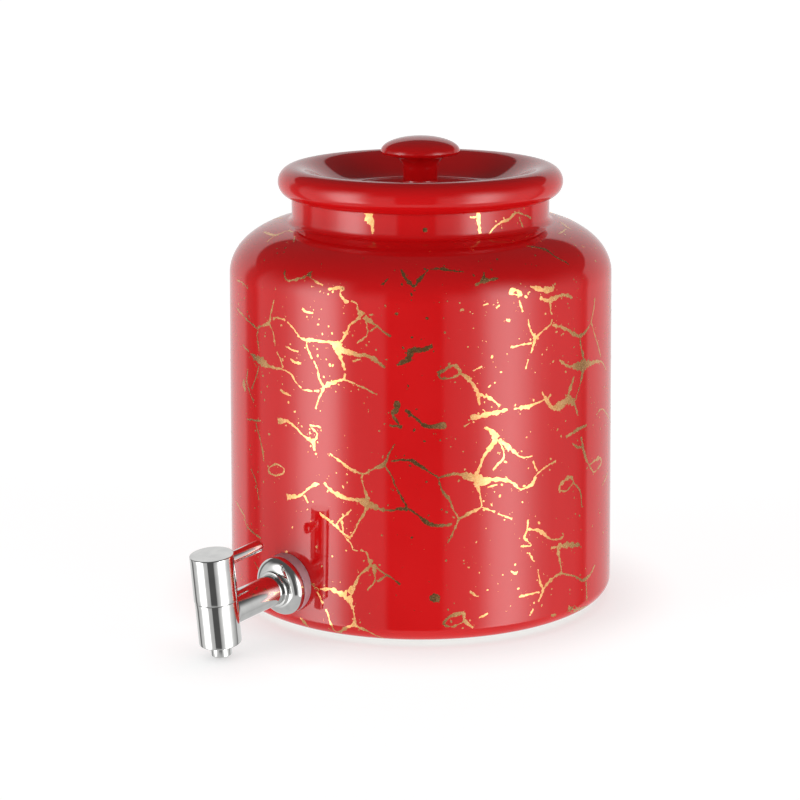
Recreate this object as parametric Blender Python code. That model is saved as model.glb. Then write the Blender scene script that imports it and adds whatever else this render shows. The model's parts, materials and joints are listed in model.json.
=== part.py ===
"""Juice dispenser: glazed jar, lift-off lid and a steel quarter-turn tap.

Metres, +Z up. The origin is the middle of the jar's foot, on the surface that it stands on.
The tap points along -Y. Its pieces are placed in the tap's own frame, whose origin is where
the tap's arm meets the jar's side: -Y runs out along the arm and Z up along the barrel.
"""
import math

import bmesh
import bpy

# Clearances
GAP = 0.0003
MERGE = 0.000001
OVERRUN = 0.0040
SMOOTH_BELOW = math.radians(35)

# Jar
FOOT_RADIUS = 0.1000
FOOT_HEIGHT = 0.0035
BASE_RADIUS = 0.1205
BASE_CORNER_WIDTH = 0.0105
BASE_CORNER_HEIGHT = 0.0095
BEVEL_MEETS_CORNER = -70
SIDE_TOP = 0.2070
SIDE_TOP_RADIUS = 0.1183
SHOULDER_WIDTH = 0.0455
SHOULDER_RISE = 0.0325
NECK_RADIUS = 0.0795
NECK_FILLET = 0.0040
LIP_ABOVE_SIDE = 0.0585
LIP_ROUND = 0.0030
JAR_WALL = 0.0075
FLOOR_THICKNESS = 0.0120
INNER_CORNER = 0.0025
JAR_SIDES = 48

# Lid
RIM_PAST_NECK = 0.0083
RIM_ROLL_WIDTH = 0.0100
RIM_ROLL_HEIGHT = 0.0095
RIM_OVER_LIP = 0.0070
CHANNEL_CLEARANCE = 0.0011
SPIGOT_CLEARANCE = 0.0010
SPIGOT_WALL = 0.0065
SPIGOT_DEPTH = 0.0165
SPIGOT_ROUND = 0.0022
DISH_DEPTH = 0.0140
DISH_FLOOR_RADIUS = 0.0440
LID_WALL = 0.0075
LID_SIDES = 40

# Knob on the lid
STEM_RADIUS = 0.0106
STEM_FLARE = 0.0060
STEM_WAIST = 0.0055
TRUMPET_WIDTH = 0.0109
TRUMPET_HEIGHT = 0.0090
KNOB_EDGE_WIDTH = 0.0028
KNOB_EDGE_HEIGHT = 0.0023
KNOB_DOME = 0.0089

# Tap's place on the jar
TAP_HEIGHT = 0.0325
TAP_DROOP = math.radians(6)
TAP_REACH = 0.0591

# Tap's arm, with the threaded shank that passes through the jar's wall
ARM_RADIUS = 0.0094
SHANK_RADIUS = 0.0079
ARM_BORE_RADIUS = 0.0050
WALL_HOLE_RADIUS = 0.0090
SHANK_END_CHAMFER = 0.0008
SHANK_PAST_NUT = 0.0030

# Pieces on the arm
FLANGE_RADIUS = 0.0180
FLANGE_EDGE = 0.0022
FLANGE_PLATE = 0.0022
FLANGE_DEPTH = 0.0095
FLANGE_COLLAR_RADIUS = 0.0112
FLANGE_COLLAR_DEPTH = 0.0020
OUTER_GASKET_THICKNESS = 0.0040
INNER_GASKET_THICKNESS = 0.0040
INNER_GASKET_RADIUS = 0.0150
BACKING_WASHER_RADIUS = 0.0140
BACKING_WASHER_THICKNESS = 0.0015
NUT_ACROSS_FLATS = 0.0240
NUT_THICKNESS = 0.0070
NUT_CHAMFER = 0.0010

# Barrel; heights are measured up from the arm's axis
BARREL_RADIUS = 0.0126
BARREL_TOP = 0.0098
BARREL_BOTTOM = -0.0172
BARREL_CHAMFER = 0.0008
CHAMBER_RADIUS = 0.0104
CHAMBER_FLOOR = -0.0145
OUTLET_RADIUS = 0.0047
NOZZLE_RADIUS = 0.0062
NOZZLE_SEAT = 0.0016
NOZZLE_DROP = 0.0075
NOZZLE_CHAMFER = 0.0005

# Valve
SEAT_SEAL_THICKNESS = 0.0015
SEAT_SEAL_WIDTH = 0.0018
DISC_THICKNESS = 0.0029
PORT_INNER_RADIUS = 0.0018
PORT_OUTER_RADIUS = 0.0064
PORT_HALF_ANGLE = math.radians(30)
HOUSING_WALL = 0.0011
HOUSING_CHAMBER_TOP = 0.0040
HOUSING_COLLAR_RADIUS = 0.0112
HOUSING_COLLAR_HEIGHT = 0.0022
HOUSING_NECK_RADIUS = 0.0080
HOUSING_NECK_TOP = 0.0170
WINDOW_HALF_WIDTH = 0.0045
HOUSING_GROOVE_LOW = 0.0058
SPINDLE_RADIUS = 0.0042
SPINDLE_TOP = 0.0358
SPINDLE_CHAMFER = 0.0006
SPINDLE_PLATE = 0.0025
LOWER_SEAL_HEIGHT = 0.0064
UPPER_SEAL_HEIGHT = 0.0112
DRIVE_PIN_RADIUS = 0.0009
DRIVE_PIN_LENGTH = 0.0012
SEAL_SECTION = 0.0012
SEAL_SQUEEZE_ROOM = 0.0003
CLIP_THICKNESS = 0.0009
CLIP_WIDTH = 0.0026
CLIP_GROOVE_DEPTH = 0.0009
CLIP_HALF_OPENING = math.radians(35)

# Handle
CAP_RADIUS = 0.0130
CAP_TOP = 0.0381
CAP_WALL = 0.0014
CAP_RECESS_DEPTH = 0.0096
CAP_CHAMFER = 0.0004
LEVER_RADIUS = 0.0036
LEVER_LENGTH = 0.0407
LEVER_BELOW_TOP = 0.0074
LEVER_SEAT = 0.0025
LEVER_TAIL_RADIUS = 0.0018
LEVER_TAIL_IN_SPINDLE = 0.0016
LEVER_AT_REST = math.radians(90)

# Facets round the tap's pieces
BARREL_SIDES = 32
SMALL_SIDES = 24
SEAL_SIDES = 8
SECTOR_STEPS = 4

# Heights and places that follow from the sizes above
CORNER_TOP = FOOT_HEIGHT + BASE_CORNER_HEIGHT
SHOULDER_CENTRE = SIDE_TOP_RADIUS - SHOULDER_WIDTH
NECK_BORE = NECK_RADIUS - JAR_WALL
LIP_TOP = SIDE_TOP + LIP_ABOVE_SIDE
RIM_RADIUS = NECK_RADIUS + RIM_PAST_NECK
RIM_CREST = LIP_TOP + RIM_OVER_LIP
ROLL_CENTRE = RIM_RADIUS - RIM_ROLL_WIDTH
DISH_FLOOR = RIM_CREST - DISH_DEPTH

GASKET_FRONT = OUTER_GASKET_THICKNESS
FLANGE_BACK = GASKET_FRONT + GAP
ARM_SHOULDER = FLANGE_BACK + FLANGE_PLATE + GAP
INNER_GASKET_END = JAR_WALL + INNER_GASKET_THICKNESS
WASHER_START = INNER_GASKET_END + GAP
NUT_START = WASHER_START + BACKING_WASHER_THICKNESS + GAP
SHANK_END = NUT_START + NUT_THICKNESS + SHANK_PAST_NUT

HOUSING_RADIUS = CHAMBER_RADIUS - GAP
HOUSING_BORE = HOUSING_RADIUS - HOUSING_WALL
DISC_RADIUS = HOUSING_BORE - GAP
SEAT_SEAL_LOW = CHAMBER_FLOOR + GAP
FIXED_DISC_LOW = SEAT_SEAL_LOW + SEAT_SEAL_THICKNESS + GAP
MOVING_DISC_LOW = FIXED_DISC_LOW + DISC_THICKNESS + GAP
PLATE_LOW = MOVING_DISC_LOW + DISC_THICKNESS + GAP
PLATE_TOP = PLATE_LOW + SPINDLE_PLATE
SPINDLE_BORE = SPINDLE_RADIUS + GAP
COLLAR_LOW = BARREL_TOP + GAP
COLLAR_TOP = COLLAR_LOW + HOUSING_COLLAR_HEIGHT
GROOVE_HEIGHT = SEAL_SECTION + SEAL_SQUEEZE_ROOM * 2
CLIP_LOW = HOUSING_NECK_TOP + GAP
CAP_BOTTOM = BARREL_TOP + GAP
CAP_RECESS_TOP = CAP_BOTTOM + CAP_RECESS_DEPTH
LEVER_HEIGHT = CAP_TOP - LEVER_BELOW_TOP

# Turns that lay a piece turned about Z along the arm, outwards, and along the lever
ALONG_ARM = (math.pi / 2, 0.0, 0.0)
ALONG_LEVER = (0.0, math.pi / 2, LEVER_AT_REST)


def remove_everything():
    for item in list(bpy.data.objects):
        bpy.data.objects.remove(item, do_unlink=True)


def finish(name, colour, metallic, roughness):
    """A plain Principled material in the piece's own colour."""
    made = bpy.data.materials.new(name)
    made.use_nodes = True
    shader = made.node_tree.nodes["Principled BSDF"]
    shader.inputs["Base Color"].default_value = (*colour, 1.0)
    shader.inputs["Metallic"].default_value = metallic
    shader.inputs["Roughness"].default_value = roughness
    made.diffuse_color = (*colour, 1.0)
    return made


def arc(centre_radius, centre_height, width, height, start, end, steps):
    """Points on a stretch of an ellipse, as (radius, height) pairs; angles in degrees."""
    points = []
    for step in range(steps + 1):
        angle = math.radians(start + (end - start) * step / steps)
        points.append((centre_radius + width * math.cos(angle),
                       centre_height + height * math.sin(angle)))
    return points


def link(name, bm, parent=None, location=(0.0, 0.0, 0.0), rotation=(0.0, 0.0, 0.0)):
    """Close, orient and smooth a mesh, and place it as an object in its parent's frame."""
    bmesh.ops.remove_doubles(bm, verts=bm.verts, dist=MERGE)
    bmesh.ops.recalc_face_normals(bm, faces=bm.faces)
    mesh = bpy.data.meshes.new(name)
    bm.to_mesh(mesh)
    bm.free()
    mesh.shade_smooth()
    mesh.set_sharp_from_angle(angle=SMOOTH_BELOW)
    made = bpy.data.objects.new(name, mesh)
    bpy.context.scene.collection.objects.link(made)
    made.parent = parent
    made.location = location
    made.rotation_euler = rotation
    return made


def turned(name, outline, sides, ring=False, **place):
    """Turn an outline of (radius, height) points about Z.

    An open outline starts and ends on the axis; a ring's outline closes on itself.
    """
    bm = bmesh.new()
    points = [bm.verts.new((radius, 0.0, height)) for radius, height in outline]
    ends = points[1:] + points[:1] if ring else points[1:]
    edges = [bm.edges.new(pair) for pair in zip(points, ends)]
    bmesh.ops.spin(bm, geom=points + edges, axis=(0.0, 0.0, 1.0), cent=(0.0, 0.0, 0.0),
                   angle=math.tau, steps=sides, use_merge=True)
    return link(name, bm, **place)


def prism(name, corners, low, high, **place):
    """Raise a flat polygon of (x, y) corners from one height to another."""
    bm = bmesh.new()
    face = bm.faces.new([bm.verts.new((x, y, low)) for x, y in corners])
    raised = bmesh.ops.extrude_face_region(bm, geom=[face])["geom"]
    top = [item for item in raised if isinstance(item, bmesh.types.BMVert)]
    bmesh.ops.translate(bm, verts=top, vec=(0.0, 0.0, high - low))
    return link(name, bm, **place)


def rod(name, radius, low, high, sides, **place):
    return turned(name, [(0.0, low), (radius, low), (radius, high), (0.0, high)], sides, **place)


def washer(name, bore, radius, low, high, sides, **place):
    section = [(bore, low), (radius, low), (radius, high), (bore, high)]
    return turned(name, section, sides, ring=True, **place)


def seal_ring(name, bore, radius, height, **place):
    """A round-section ring that fills the room between a groove's floor and a bore."""
    middle = (bore + radius) / 2
    half = SEAL_SECTION / 2
    section = arc(middle, height, half, half, 0, 360, SEAL_SIDES)[:-1]
    return turned(name, section, SMALL_SIDES, ring=True, **place)


def sector(name, inner, outer, middle, half_angle, low, high, **place):
    """A wedge of a ring, centred on one direction."""
    start = math.degrees(middle - half_angle)
    end = math.degrees(middle + half_angle)
    corners = arc(0.0, 0.0, outer, outer, start, end, SECTOR_STEPS)
    corners += arc(0.0, 0.0, inner, inner, end, start, SECTOR_STEPS)
    return prism(name, corners, low, high, **place)


def combine(piece, tool, operation="DIFFERENCE"):
    """Cut a piece with a tool, or join or limit it, and keep the tool out of the model."""
    change = piece.modifiers.new(tool.name, "BOOLEAN")
    change.operation = operation
    change.solver = "EXACT"
    change.object = tool
    tool.hide_render = True
    tool.display_type = "WIRE"
    return piece


def side_radius(height):
    """Outer radius of the jar's gently tapering side."""
    share = (height - CORNER_TOP) / (SIDE_TOP - CORNER_TOP)
    return BASE_RADIUS + (SIDE_TOP_RADIUS - BASE_RADIUS) * share


def frame_empty(name, location, rotation=(0.0, 0.0, 0.0), parent=None):
    made = bpy.data.objects.new(name, None)
    bpy.context.scene.collection.objects.link(made)
    made.parent = parent
    made.location = location
    made.rotation_euler = rotation
    return made


def jar_outline():
    """The jar's section: foot, base corner, side, shoulder, neck, lip and the inside."""
    meets_fillet = (NECK_RADIUS + NECK_FILLET - SHOULDER_CENTRE) / SHOULDER_WIDTH
    shoulder_end = math.degrees(math.acos(meets_fillet))
    shoulder_top = SIDE_TOP + SHOULDER_RISE * math.sin(math.acos(meets_fillet))
    inner_width = SHOULDER_WIDTH - JAR_WALL
    inner_end = math.degrees(math.acos((NECK_BORE - SHOULDER_CENTRE) / inner_width))
    inner_side_foot = FLOOR_THICKNESS + INNER_CORNER
    inner_base = side_radius(inner_side_foot) - JAR_WALL
    outline = [(0.0, 0.0), (FOOT_RADIUS, 0.0)]
    outline += arc(BASE_RADIUS - BASE_CORNER_WIDTH, CORNER_TOP,
                   BASE_CORNER_WIDTH, BASE_CORNER_HEIGHT, BEVEL_MEETS_CORNER, 0, 4)
    outline += arc(SHOULDER_CENTRE, SIDE_TOP, SHOULDER_WIDTH, SHOULDER_RISE, 0, shoulder_end, 8)
    outline += arc(NECK_RADIUS + NECK_FILLET, shoulder_top + NECK_FILLET,
                   NECK_FILLET, NECK_FILLET, 270, 180, 3)[1:]
    outline += arc(NECK_RADIUS - LIP_ROUND, LIP_TOP - LIP_ROUND, LIP_ROUND, LIP_ROUND, 0, 90, 2)
    outline += arc(NECK_BORE + LIP_ROUND, LIP_TOP - LIP_ROUND, LIP_ROUND, LIP_ROUND, 90, 180, 2)
    outline += arc(SHOULDER_CENTRE, SIDE_TOP, inner_width, SHOULDER_RISE - JAR_WALL,
                   inner_end, 0, 5)
    outline += arc(inner_base - INNER_CORNER, inner_side_foot,
                   INNER_CORNER, INNER_CORNER, 0, -90, 3)
    outline.append((0.0, FLOOR_THICKNESS))
    return outline


def dish_height(radius):
    """Height of the lid's dished top, a smooth sweep from its floor up to the rim's crest."""
    share = (radius - DISH_FLOOR_RADIUS) / (ROLL_CENTRE - DISH_FLOOR_RADIUS)
    return DISH_FLOOR + DISH_DEPTH * (1 - math.cos(math.pi * share)) / 2


def sweep_radii(start, end, steps):
    return [start + (end - start) * step / steps for step in range(steps + 1)]


def lid_outline():
    """The lid's section, from under its middle, out round the rim, and in to the knob's top."""
    spigot_radius = NECK_BORE - SPIGOT_CLEARANCE
    spigot_inner = spigot_radius - SPIGOT_WALL
    spigot_bottom = LIP_TOP - SPIGOT_DEPTH
    round_centre = spigot_bottom + SPIGOT_ROUND
    channel_top = LIP_TOP + GAP
    channel_radius = NECK_RADIUS + CHANNEL_CLEARANCE
    roll_height = RIM_CREST - RIM_ROLL_HEIGHT
    roll_start = -math.degrees(math.acos((channel_radius - ROLL_CENTRE) / RIM_ROLL_WIDTH))
    stem_low = DISH_FLOOR + STEM_FLARE
    trumpet_low = stem_low + STEM_WAIST
    knob_edge = trumpet_low + TRUMPET_HEIGHT + KNOB_EDGE_HEIGHT
    trumpet_radius = STEM_RADIUS + TRUMPET_WIDTH
    knob_radius = trumpet_radius + KNOB_EDGE_WIDTH

    outline = [(0.0, DISH_FLOOR - LID_WALL)]
    outline += [(radius, dish_height(radius) - LID_WALL)
                for radius in sweep_radii(DISH_FLOOR_RADIUS, spigot_inner, 3)]
    outline += arc(spigot_inner + SPIGOT_ROUND, round_centre, SPIGOT_ROUND, SPIGOT_ROUND,
                   180, 270, 2)
    outline += arc(spigot_radius - SPIGOT_ROUND, round_centre, SPIGOT_ROUND, SPIGOT_ROUND,
                   270, 360, 2)
    outline += [(spigot_radius, channel_top), (channel_radius, channel_top)]
    outline += arc(ROLL_CENTRE, roll_height, RIM_ROLL_WIDTH, RIM_ROLL_HEIGHT, roll_start, 90, 9)
    outline += [(radius, dish_height(radius))
                for radius in sweep_radii(ROLL_CENTRE, DISH_FLOOR_RADIUS, 7)[1:]]
    outline += arc(STEM_RADIUS + STEM_FLARE, stem_low, STEM_FLARE, STEM_FLARE, 270, 180, 3)
    outline += arc(trumpet_radius, trumpet_low, TRUMPET_WIDTH, TRUMPET_HEIGHT, 180, 90, 5)
    outline += arc(trumpet_radius, knob_edge, KNOB_EDGE_WIDTH, KNOB_EDGE_HEIGHT, -90, 0, 3)[1:]
    outline += arc(0.0, knob_edge, knob_radius, KNOB_DOME, 0, 90, 6)[1:]
    return outline


def make_jar(tap):
    jar = turned("jar", jar_outline(), JAR_SIDES)
    hole = rod("wall_hole", WALL_HOLE_RADIUS, -JAR_WALL - OVERRUN, OVERRUN, SMALL_SIDES,
               parent=tap, rotation=ALONG_ARM)
    return combine(jar, hole)


def make_gaskets(tap):
    """Soft rings each side of the wall, shaped by it on one face and flat on the other."""
    bore = SHANK_RADIUS + GAP
    outer = washer("outer_gasket", bore, FLANGE_RADIUS, -OVERRUN, GASKET_FRONT, BARREL_SIDES,
                   parent=tap, rotation=ALONG_ARM)
    jar_body = turned("jar_side", [(0.0, 0.0), (side_radius(0.0) + GAP, 0.0),
                                   (SIDE_TOP_RADIUS + GAP, SIDE_TOP), (0.0, SIDE_TOP)], JAR_SIDES)
    combine(outer, jar_body)
    inner = washer("inner_gasket", bore, INNER_GASKET_RADIUS, -INNER_GASKET_END,
                   OVERRUN - JAR_WALL, BARREL_SIDES, parent=tap, rotation=ALONG_ARM)
    inside = -JAR_WALL - GAP
    jar_room = turned("jar_inside", [(0.0, 0.0), (side_radius(0.0) + inside, 0.0),
                                     (SIDE_TOP_RADIUS + inside, SIDE_TOP), (0.0, SIDE_TOP)],
                      JAR_SIDES)
    combine(inner, jar_room, "INTERSECT")
    return outer, inner


def make_flange(tap):
    """Domed cover ring, stepped inside so that the arm's shoulder clamps its back plate."""
    front = FLANGE_BACK + FLANGE_DEPTH
    collar_back = front - FLANGE_COLLAR_DEPTH
    edge = FLANGE_BACK + FLANGE_EDGE
    plate = FLANGE_BACK + FLANGE_PLATE
    arm_hole = ARM_RADIUS + GAP
    shank_hole = SHANK_RADIUS + GAP
    section = [(shank_hole, FLANGE_BACK), (FLANGE_RADIUS, FLANGE_BACK)]
    section += arc(FLANGE_COLLAR_RADIUS, edge, FLANGE_RADIUS - FLANGE_COLLAR_RADIUS,
                   collar_back - edge, 0, 90, 6)
    section += [(FLANGE_COLLAR_RADIUS, front), (arm_hole, front), (arm_hole, plate),
                (shank_hole, plate)]
    return turned("escutcheon", section, BARREL_SIDES, ring=True, parent=tap,
                  rotation=ALONG_ARM)


def make_clamp(tap):
    """Backing washer and hexagonal nut that pull the tap against the wall from inside."""
    backing = washer("backing_washer", SHANK_RADIUS + GAP, BACKING_WASHER_RADIUS,
                     -WASHER_START - BACKING_WASHER_THICKNESS, -WASHER_START, SMALL_SIDES,
                     parent=tap, rotation=ALONG_ARM)
    corner = NUT_ACROSS_FLATS / 2 / math.cos(math.pi / 6)
    past_corner = corner + GAP
    chamfer_radius = NUT_ACROSS_FLATS / 2 - NUT_CHAMFER
    low = -NUT_START - NUT_THICKNESS
    bore = SHANK_RADIUS + GAP
    nut = prism("lock_nut", arc(0.0, 0.0, corner, corner, 0, 360, 6)[:-1], low, -NUT_START,
                parent=tap, rotation=ALONG_ARM)
    rounded = turned("nut_chamfer", [(0.0, low), (chamfer_radius, low),
                                     (past_corner, low + NUT_CHAMFER), (past_corner, -NUT_START),
                                     (0.0, -NUT_START)], SMALL_SIDES,
                     parent=tap, rotation=ALONG_ARM)
    combine(nut, rounded, "INTERSECT")
    hole = rod("nut_bore", bore, low - OVERRUN, OVERRUN - NUT_START, SMALL_SIDES,
               parent=tap, rotation=ALONG_ARM)
    combine(nut, hole)
    return backing, nut


def make_tap_body(tap, barrel_axis):
    """Barrel, arm and shank in one piece, bored along the arm and down the barrel."""
    body = turned("tap_body", [(0.0, BARREL_BOTTOM), (BARREL_RADIUS - BARREL_CHAMFER, BARREL_BOTTOM),
                               (BARREL_RADIUS, BARREL_BOTTOM + BARREL_CHAMFER),
                               (BARREL_RADIUS, BARREL_TOP), (0.0, BARREL_TOP)],
                  BARREL_SIDES, parent=barrel_axis)
    arm = turned("arm_outside", [(0.0, -SHANK_END), (SHANK_RADIUS - SHANK_END_CHAMFER, -SHANK_END),
                                 (SHANK_RADIUS, SHANK_END_CHAMFER - SHANK_END),
                                 (SHANK_RADIUS, ARM_SHOULDER), (ARM_RADIUS, ARM_SHOULDER),
                                 (ARM_RADIUS, TAP_REACH), (0.0, TAP_REACH)],
                 SMALL_SIDES, parent=tap, rotation=ALONG_ARM)
    combine(body, arm, "UNION")
    seat_top = BARREL_BOTTOM + NOZZLE_SEAT
    chamber = turned("chamber", [(0.0, BARREL_BOTTOM - OVERRUN),
                                 (NOZZLE_RADIUS + GAP, BARREL_BOTTOM - OVERRUN),
                                 (NOZZLE_RADIUS + GAP, seat_top), (OUTLET_RADIUS, seat_top),
                                 (OUTLET_RADIUS, CHAMBER_FLOOR), (CHAMBER_RADIUS, CHAMBER_FLOOR),
                                 (CHAMBER_RADIUS, BARREL_TOP + OVERRUN),
                                 (0.0, BARREL_TOP + OVERRUN)], BARREL_SIDES, parent=barrel_axis)
    combine(body, chamber)
    bore = rod("arm_bore", ARM_BORE_RADIUS, -SHANK_END - OVERRUN, TAP_REACH, SMALL_SIDES,
               parent=tap, rotation=ALONG_ARM)
    combine(body, bore)
    return body


def make_nozzle(barrel_axis):
    low = BARREL_BOTTOM - NOZZLE_DROP
    high = BARREL_BOTTOM + NOZZLE_SEAT - GAP
    section = [(OUTLET_RADIUS, low), (NOZZLE_RADIUS - NOZZLE_CHAMFER, low),
               (NOZZLE_RADIUS, low + NOZZLE_CHAMFER), (NOZZLE_RADIUS, high),
               (OUTLET_RADIUS, high)]
    return turned("outlet_nozzle", section, SMALL_SIDES, ring=True, parent=barrel_axis)


def groove(low, floor, wall):
    """Corners of a square groove in an outline that runs upwards at the wall's radius."""
    high = low + GROOVE_HEIGHT
    return [(wall, low), (floor, low), (floor, high), (wall, high)]


def make_housing(barrel_axis):
    """Valve housing: a skirt round the discs, a collar on the barrel, a neck for the spindle."""
    skirt_low = FIXED_DISC_LOW
    groove_floor = HOUSING_RADIUS - SEAL_SECTION - SEAL_SQUEEZE_ROOM
    section = [(HOUSING_BORE, skirt_low), (HOUSING_RADIUS, skirt_low)]
    section += groove(HOUSING_GROOVE_LOW, groove_floor, HOUSING_RADIUS)
    section += [(HOUSING_RADIUS, COLLAR_LOW), (HOUSING_COLLAR_RADIUS, COLLAR_LOW),
                (HOUSING_COLLAR_RADIUS, COLLAR_TOP), (HOUSING_NECK_RADIUS, COLLAR_TOP),
                (HOUSING_NECK_RADIUS, HOUSING_NECK_TOP), (SPINDLE_BORE, HOUSING_NECK_TOP),
                (SPINDLE_BORE, HOUSING_CHAMBER_TOP), (HOUSING_BORE, HOUSING_CHAMBER_TOP)]
    housing = turned("valve_housing", section, SMALL_SIDES, ring=True, parent=barrel_axis)
    corners = [(-WINDOW_HALF_WIDTH, -HOUSING_RADIUS - OVERRUN),
               (WINDOW_HALF_WIDTH, -HOUSING_RADIUS - OVERRUN),
               (WINDOW_HALF_WIDTH, HOUSING_RADIUS + OVERRUN),
               (-WINDOW_HALF_WIDTH, HOUSING_RADIUS + OVERRUN)]
    windows = prism("housing_windows", corners, PLATE_TOP, HOUSING_CHAMBER_TOP - HOUSING_WALL,
                    parent=barrel_axis)
    combine(housing, windows)
    seal = seal_ring("housing_seal", groove_floor, CHAMBER_RADIUS,
                     HOUSING_GROOVE_LOW + GROOVE_HEIGHT / 2, parent=barrel_axis)
    return housing, seal


def cut_ports(piece, low, high, middle, parent):
    """Two facing sector ports through a disc."""
    for number, turn in enumerate((0.0, math.pi)):
        port = sector(f"{piece.name}_port_{number}", PORT_INNER_RADIUS, PORT_OUTER_RADIUS,
                      middle + turn, PORT_HALF_ANGLE, low - OVERRUN, high + OVERRUN,
                      parent=parent)
        combine(piece, port)
    return piece


def drive_pin_places():
    """The spindle's two driving pins, a quarter turn from its ports."""
    across = (PORT_INNER_RADIUS + PORT_OUTER_RADIUS) / 2
    angle = LEVER_AT_REST + math.pi / 2
    x = across * math.cos(angle)
    y = across * math.sin(angle)
    return ((x, y), (-x, -y))


def make_discs(barrel_axis, handle_axis):
    seal_outer = DISC_RADIUS
    seat_seal = washer("seat_seal", seal_outer - SEAT_SEAL_WIDTH, seal_outer, SEAT_SEAL_LOW,
                       SEAT_SEAL_LOW + SEAT_SEAL_THICKNESS, SMALL_SIDES, parent=barrel_axis)
    fixed_top = FIXED_DISC_LOW + DISC_THICKNESS
    fixed = rod("fixed_disc", DISC_RADIUS, FIXED_DISC_LOW, fixed_top, SMALL_SIDES,
                parent=barrel_axis)
    cut_ports(fixed, FIXED_DISC_LOW, fixed_top, 0.0, barrel_axis)
    moving_top = MOVING_DISC_LOW + DISC_THICKNESS
    moving = rod("moving_disc", DISC_RADIUS, MOVING_DISC_LOW, moving_top, SMALL_SIDES,
                 parent=handle_axis)
    cut_ports(moving, MOVING_DISC_LOW, moving_top, LEVER_AT_REST, handle_axis)
    for number, (x, y) in enumerate(drive_pin_places()):
        socket = rod(f"pin_socket_{number}", DRIVE_PIN_RADIUS + GAP,
                     moving_top - DRIVE_PIN_LENGTH, moving_top + OVERRUN, SEAL_SIDES,
                     parent=handle_axis, location=(x, y, 0.0))
        combine(moving, socket)
    return seat_seal, fixed, moving


def make_spindle(handle_axis):
    """Spindle with its driving plate below, two seal grooves, a clip groove and a round head."""
    groove_floor = SPINDLE_BORE - SEAL_SECTION - SEAL_SQUEEZE_ROOM * 2
    clip_floor = SPINDLE_RADIUS - CLIP_GROOVE_DEPTH
    clip_groove_top = CLIP_LOW + CLIP_THICKNESS + GAP
    plate_radius = DISC_RADIUS
    outline = [(0.0, PLATE_LOW), (plate_radius, PLATE_LOW), (plate_radius, PLATE_TOP),
               (SPINDLE_RADIUS, PLATE_TOP)]
    outline += groove(LOWER_SEAL_HEIGHT, groove_floor, SPINDLE_RADIUS)
    outline += groove(UPPER_SEAL_HEIGHT, groove_floor, SPINDLE_RADIUS)
    outline += [(SPINDLE_RADIUS, HOUSING_NECK_TOP), (clip_floor, HOUSING_NECK_TOP),
                (clip_floor, clip_groove_top), (SPINDLE_RADIUS, clip_groove_top),
                (SPINDLE_RADIUS, SPINDLE_TOP - SPINDLE_CHAMFER),
                (SPINDLE_RADIUS - SPINDLE_CHAMFER, SPINDLE_TOP), (0.0, SPINDLE_TOP)]
    spindle = turned("spindle", outline, SMALL_SIDES, parent=handle_axis)
    for number, (x, y) in enumerate(drive_pin_places()):
        pin = rod(f"drive_pin_{number}", DRIVE_PIN_RADIUS,
                  PLATE_LOW - DRIVE_PIN_LENGTH, PLATE_TOP - GAP, SEAL_SIDES,
                  parent=handle_axis, location=(x, y, 0.0))
        combine(spindle, pin, "UNION")
    for number, turn in enumerate((0.0, math.pi)):
        port = sector(f"spindle_port_{number}", SPINDLE_RADIUS, plate_radius + OVERRUN,
                      LEVER_AT_REST + turn, PORT_HALF_ANGLE, PLATE_LOW - OVERRUN,
                      PLATE_TOP + GAP, parent=handle_axis)
        combine(spindle, port)
    socket = rod("tail_socket", LEVER_TAIL_RADIUS + GAP,
                 SPINDLE_RADIUS - LEVER_TAIL_IN_SPINDLE - GAP, SPINDLE_RADIUS + OVERRUN,
                 SEAL_SIDES, parent=handle_axis, location=(0.0, 0.0, LEVER_HEIGHT),
                 rotation=ALONG_LEVER)
    combine(spindle, socket)
    for name, height in (("lower", LOWER_SEAL_HEIGHT), ("upper", UPPER_SEAL_HEIGHT)):
        seal_ring(f"spindle_seal_{name}", groove_floor, SPINDLE_BORE,
                  height + GROOVE_HEIGHT / 2, parent=handle_axis)
    return spindle


def make_clip(handle_axis):
    """Split spring clip that stops the spindle from dropping through the housing."""
    inner = SPINDLE_RADIUS - CLIP_GROOVE_DEPTH + GAP
    clip = washer("retaining_clip", inner, inner + CLIP_WIDTH, CLIP_LOW,
                  CLIP_LOW + CLIP_THICKNESS, SMALL_SIDES, parent=handle_axis)
    opening = sector("clip_opening", inner / 2, inner + CLIP_WIDTH + OVERRUN,
                     LEVER_AT_REST + math.pi, CLIP_HALF_OPENING, CLIP_LOW - OVERRUN,
                     CLIP_LOW + CLIP_THICKNESS + OVERRUN, parent=handle_axis)
    return combine(clip, opening)


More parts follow.
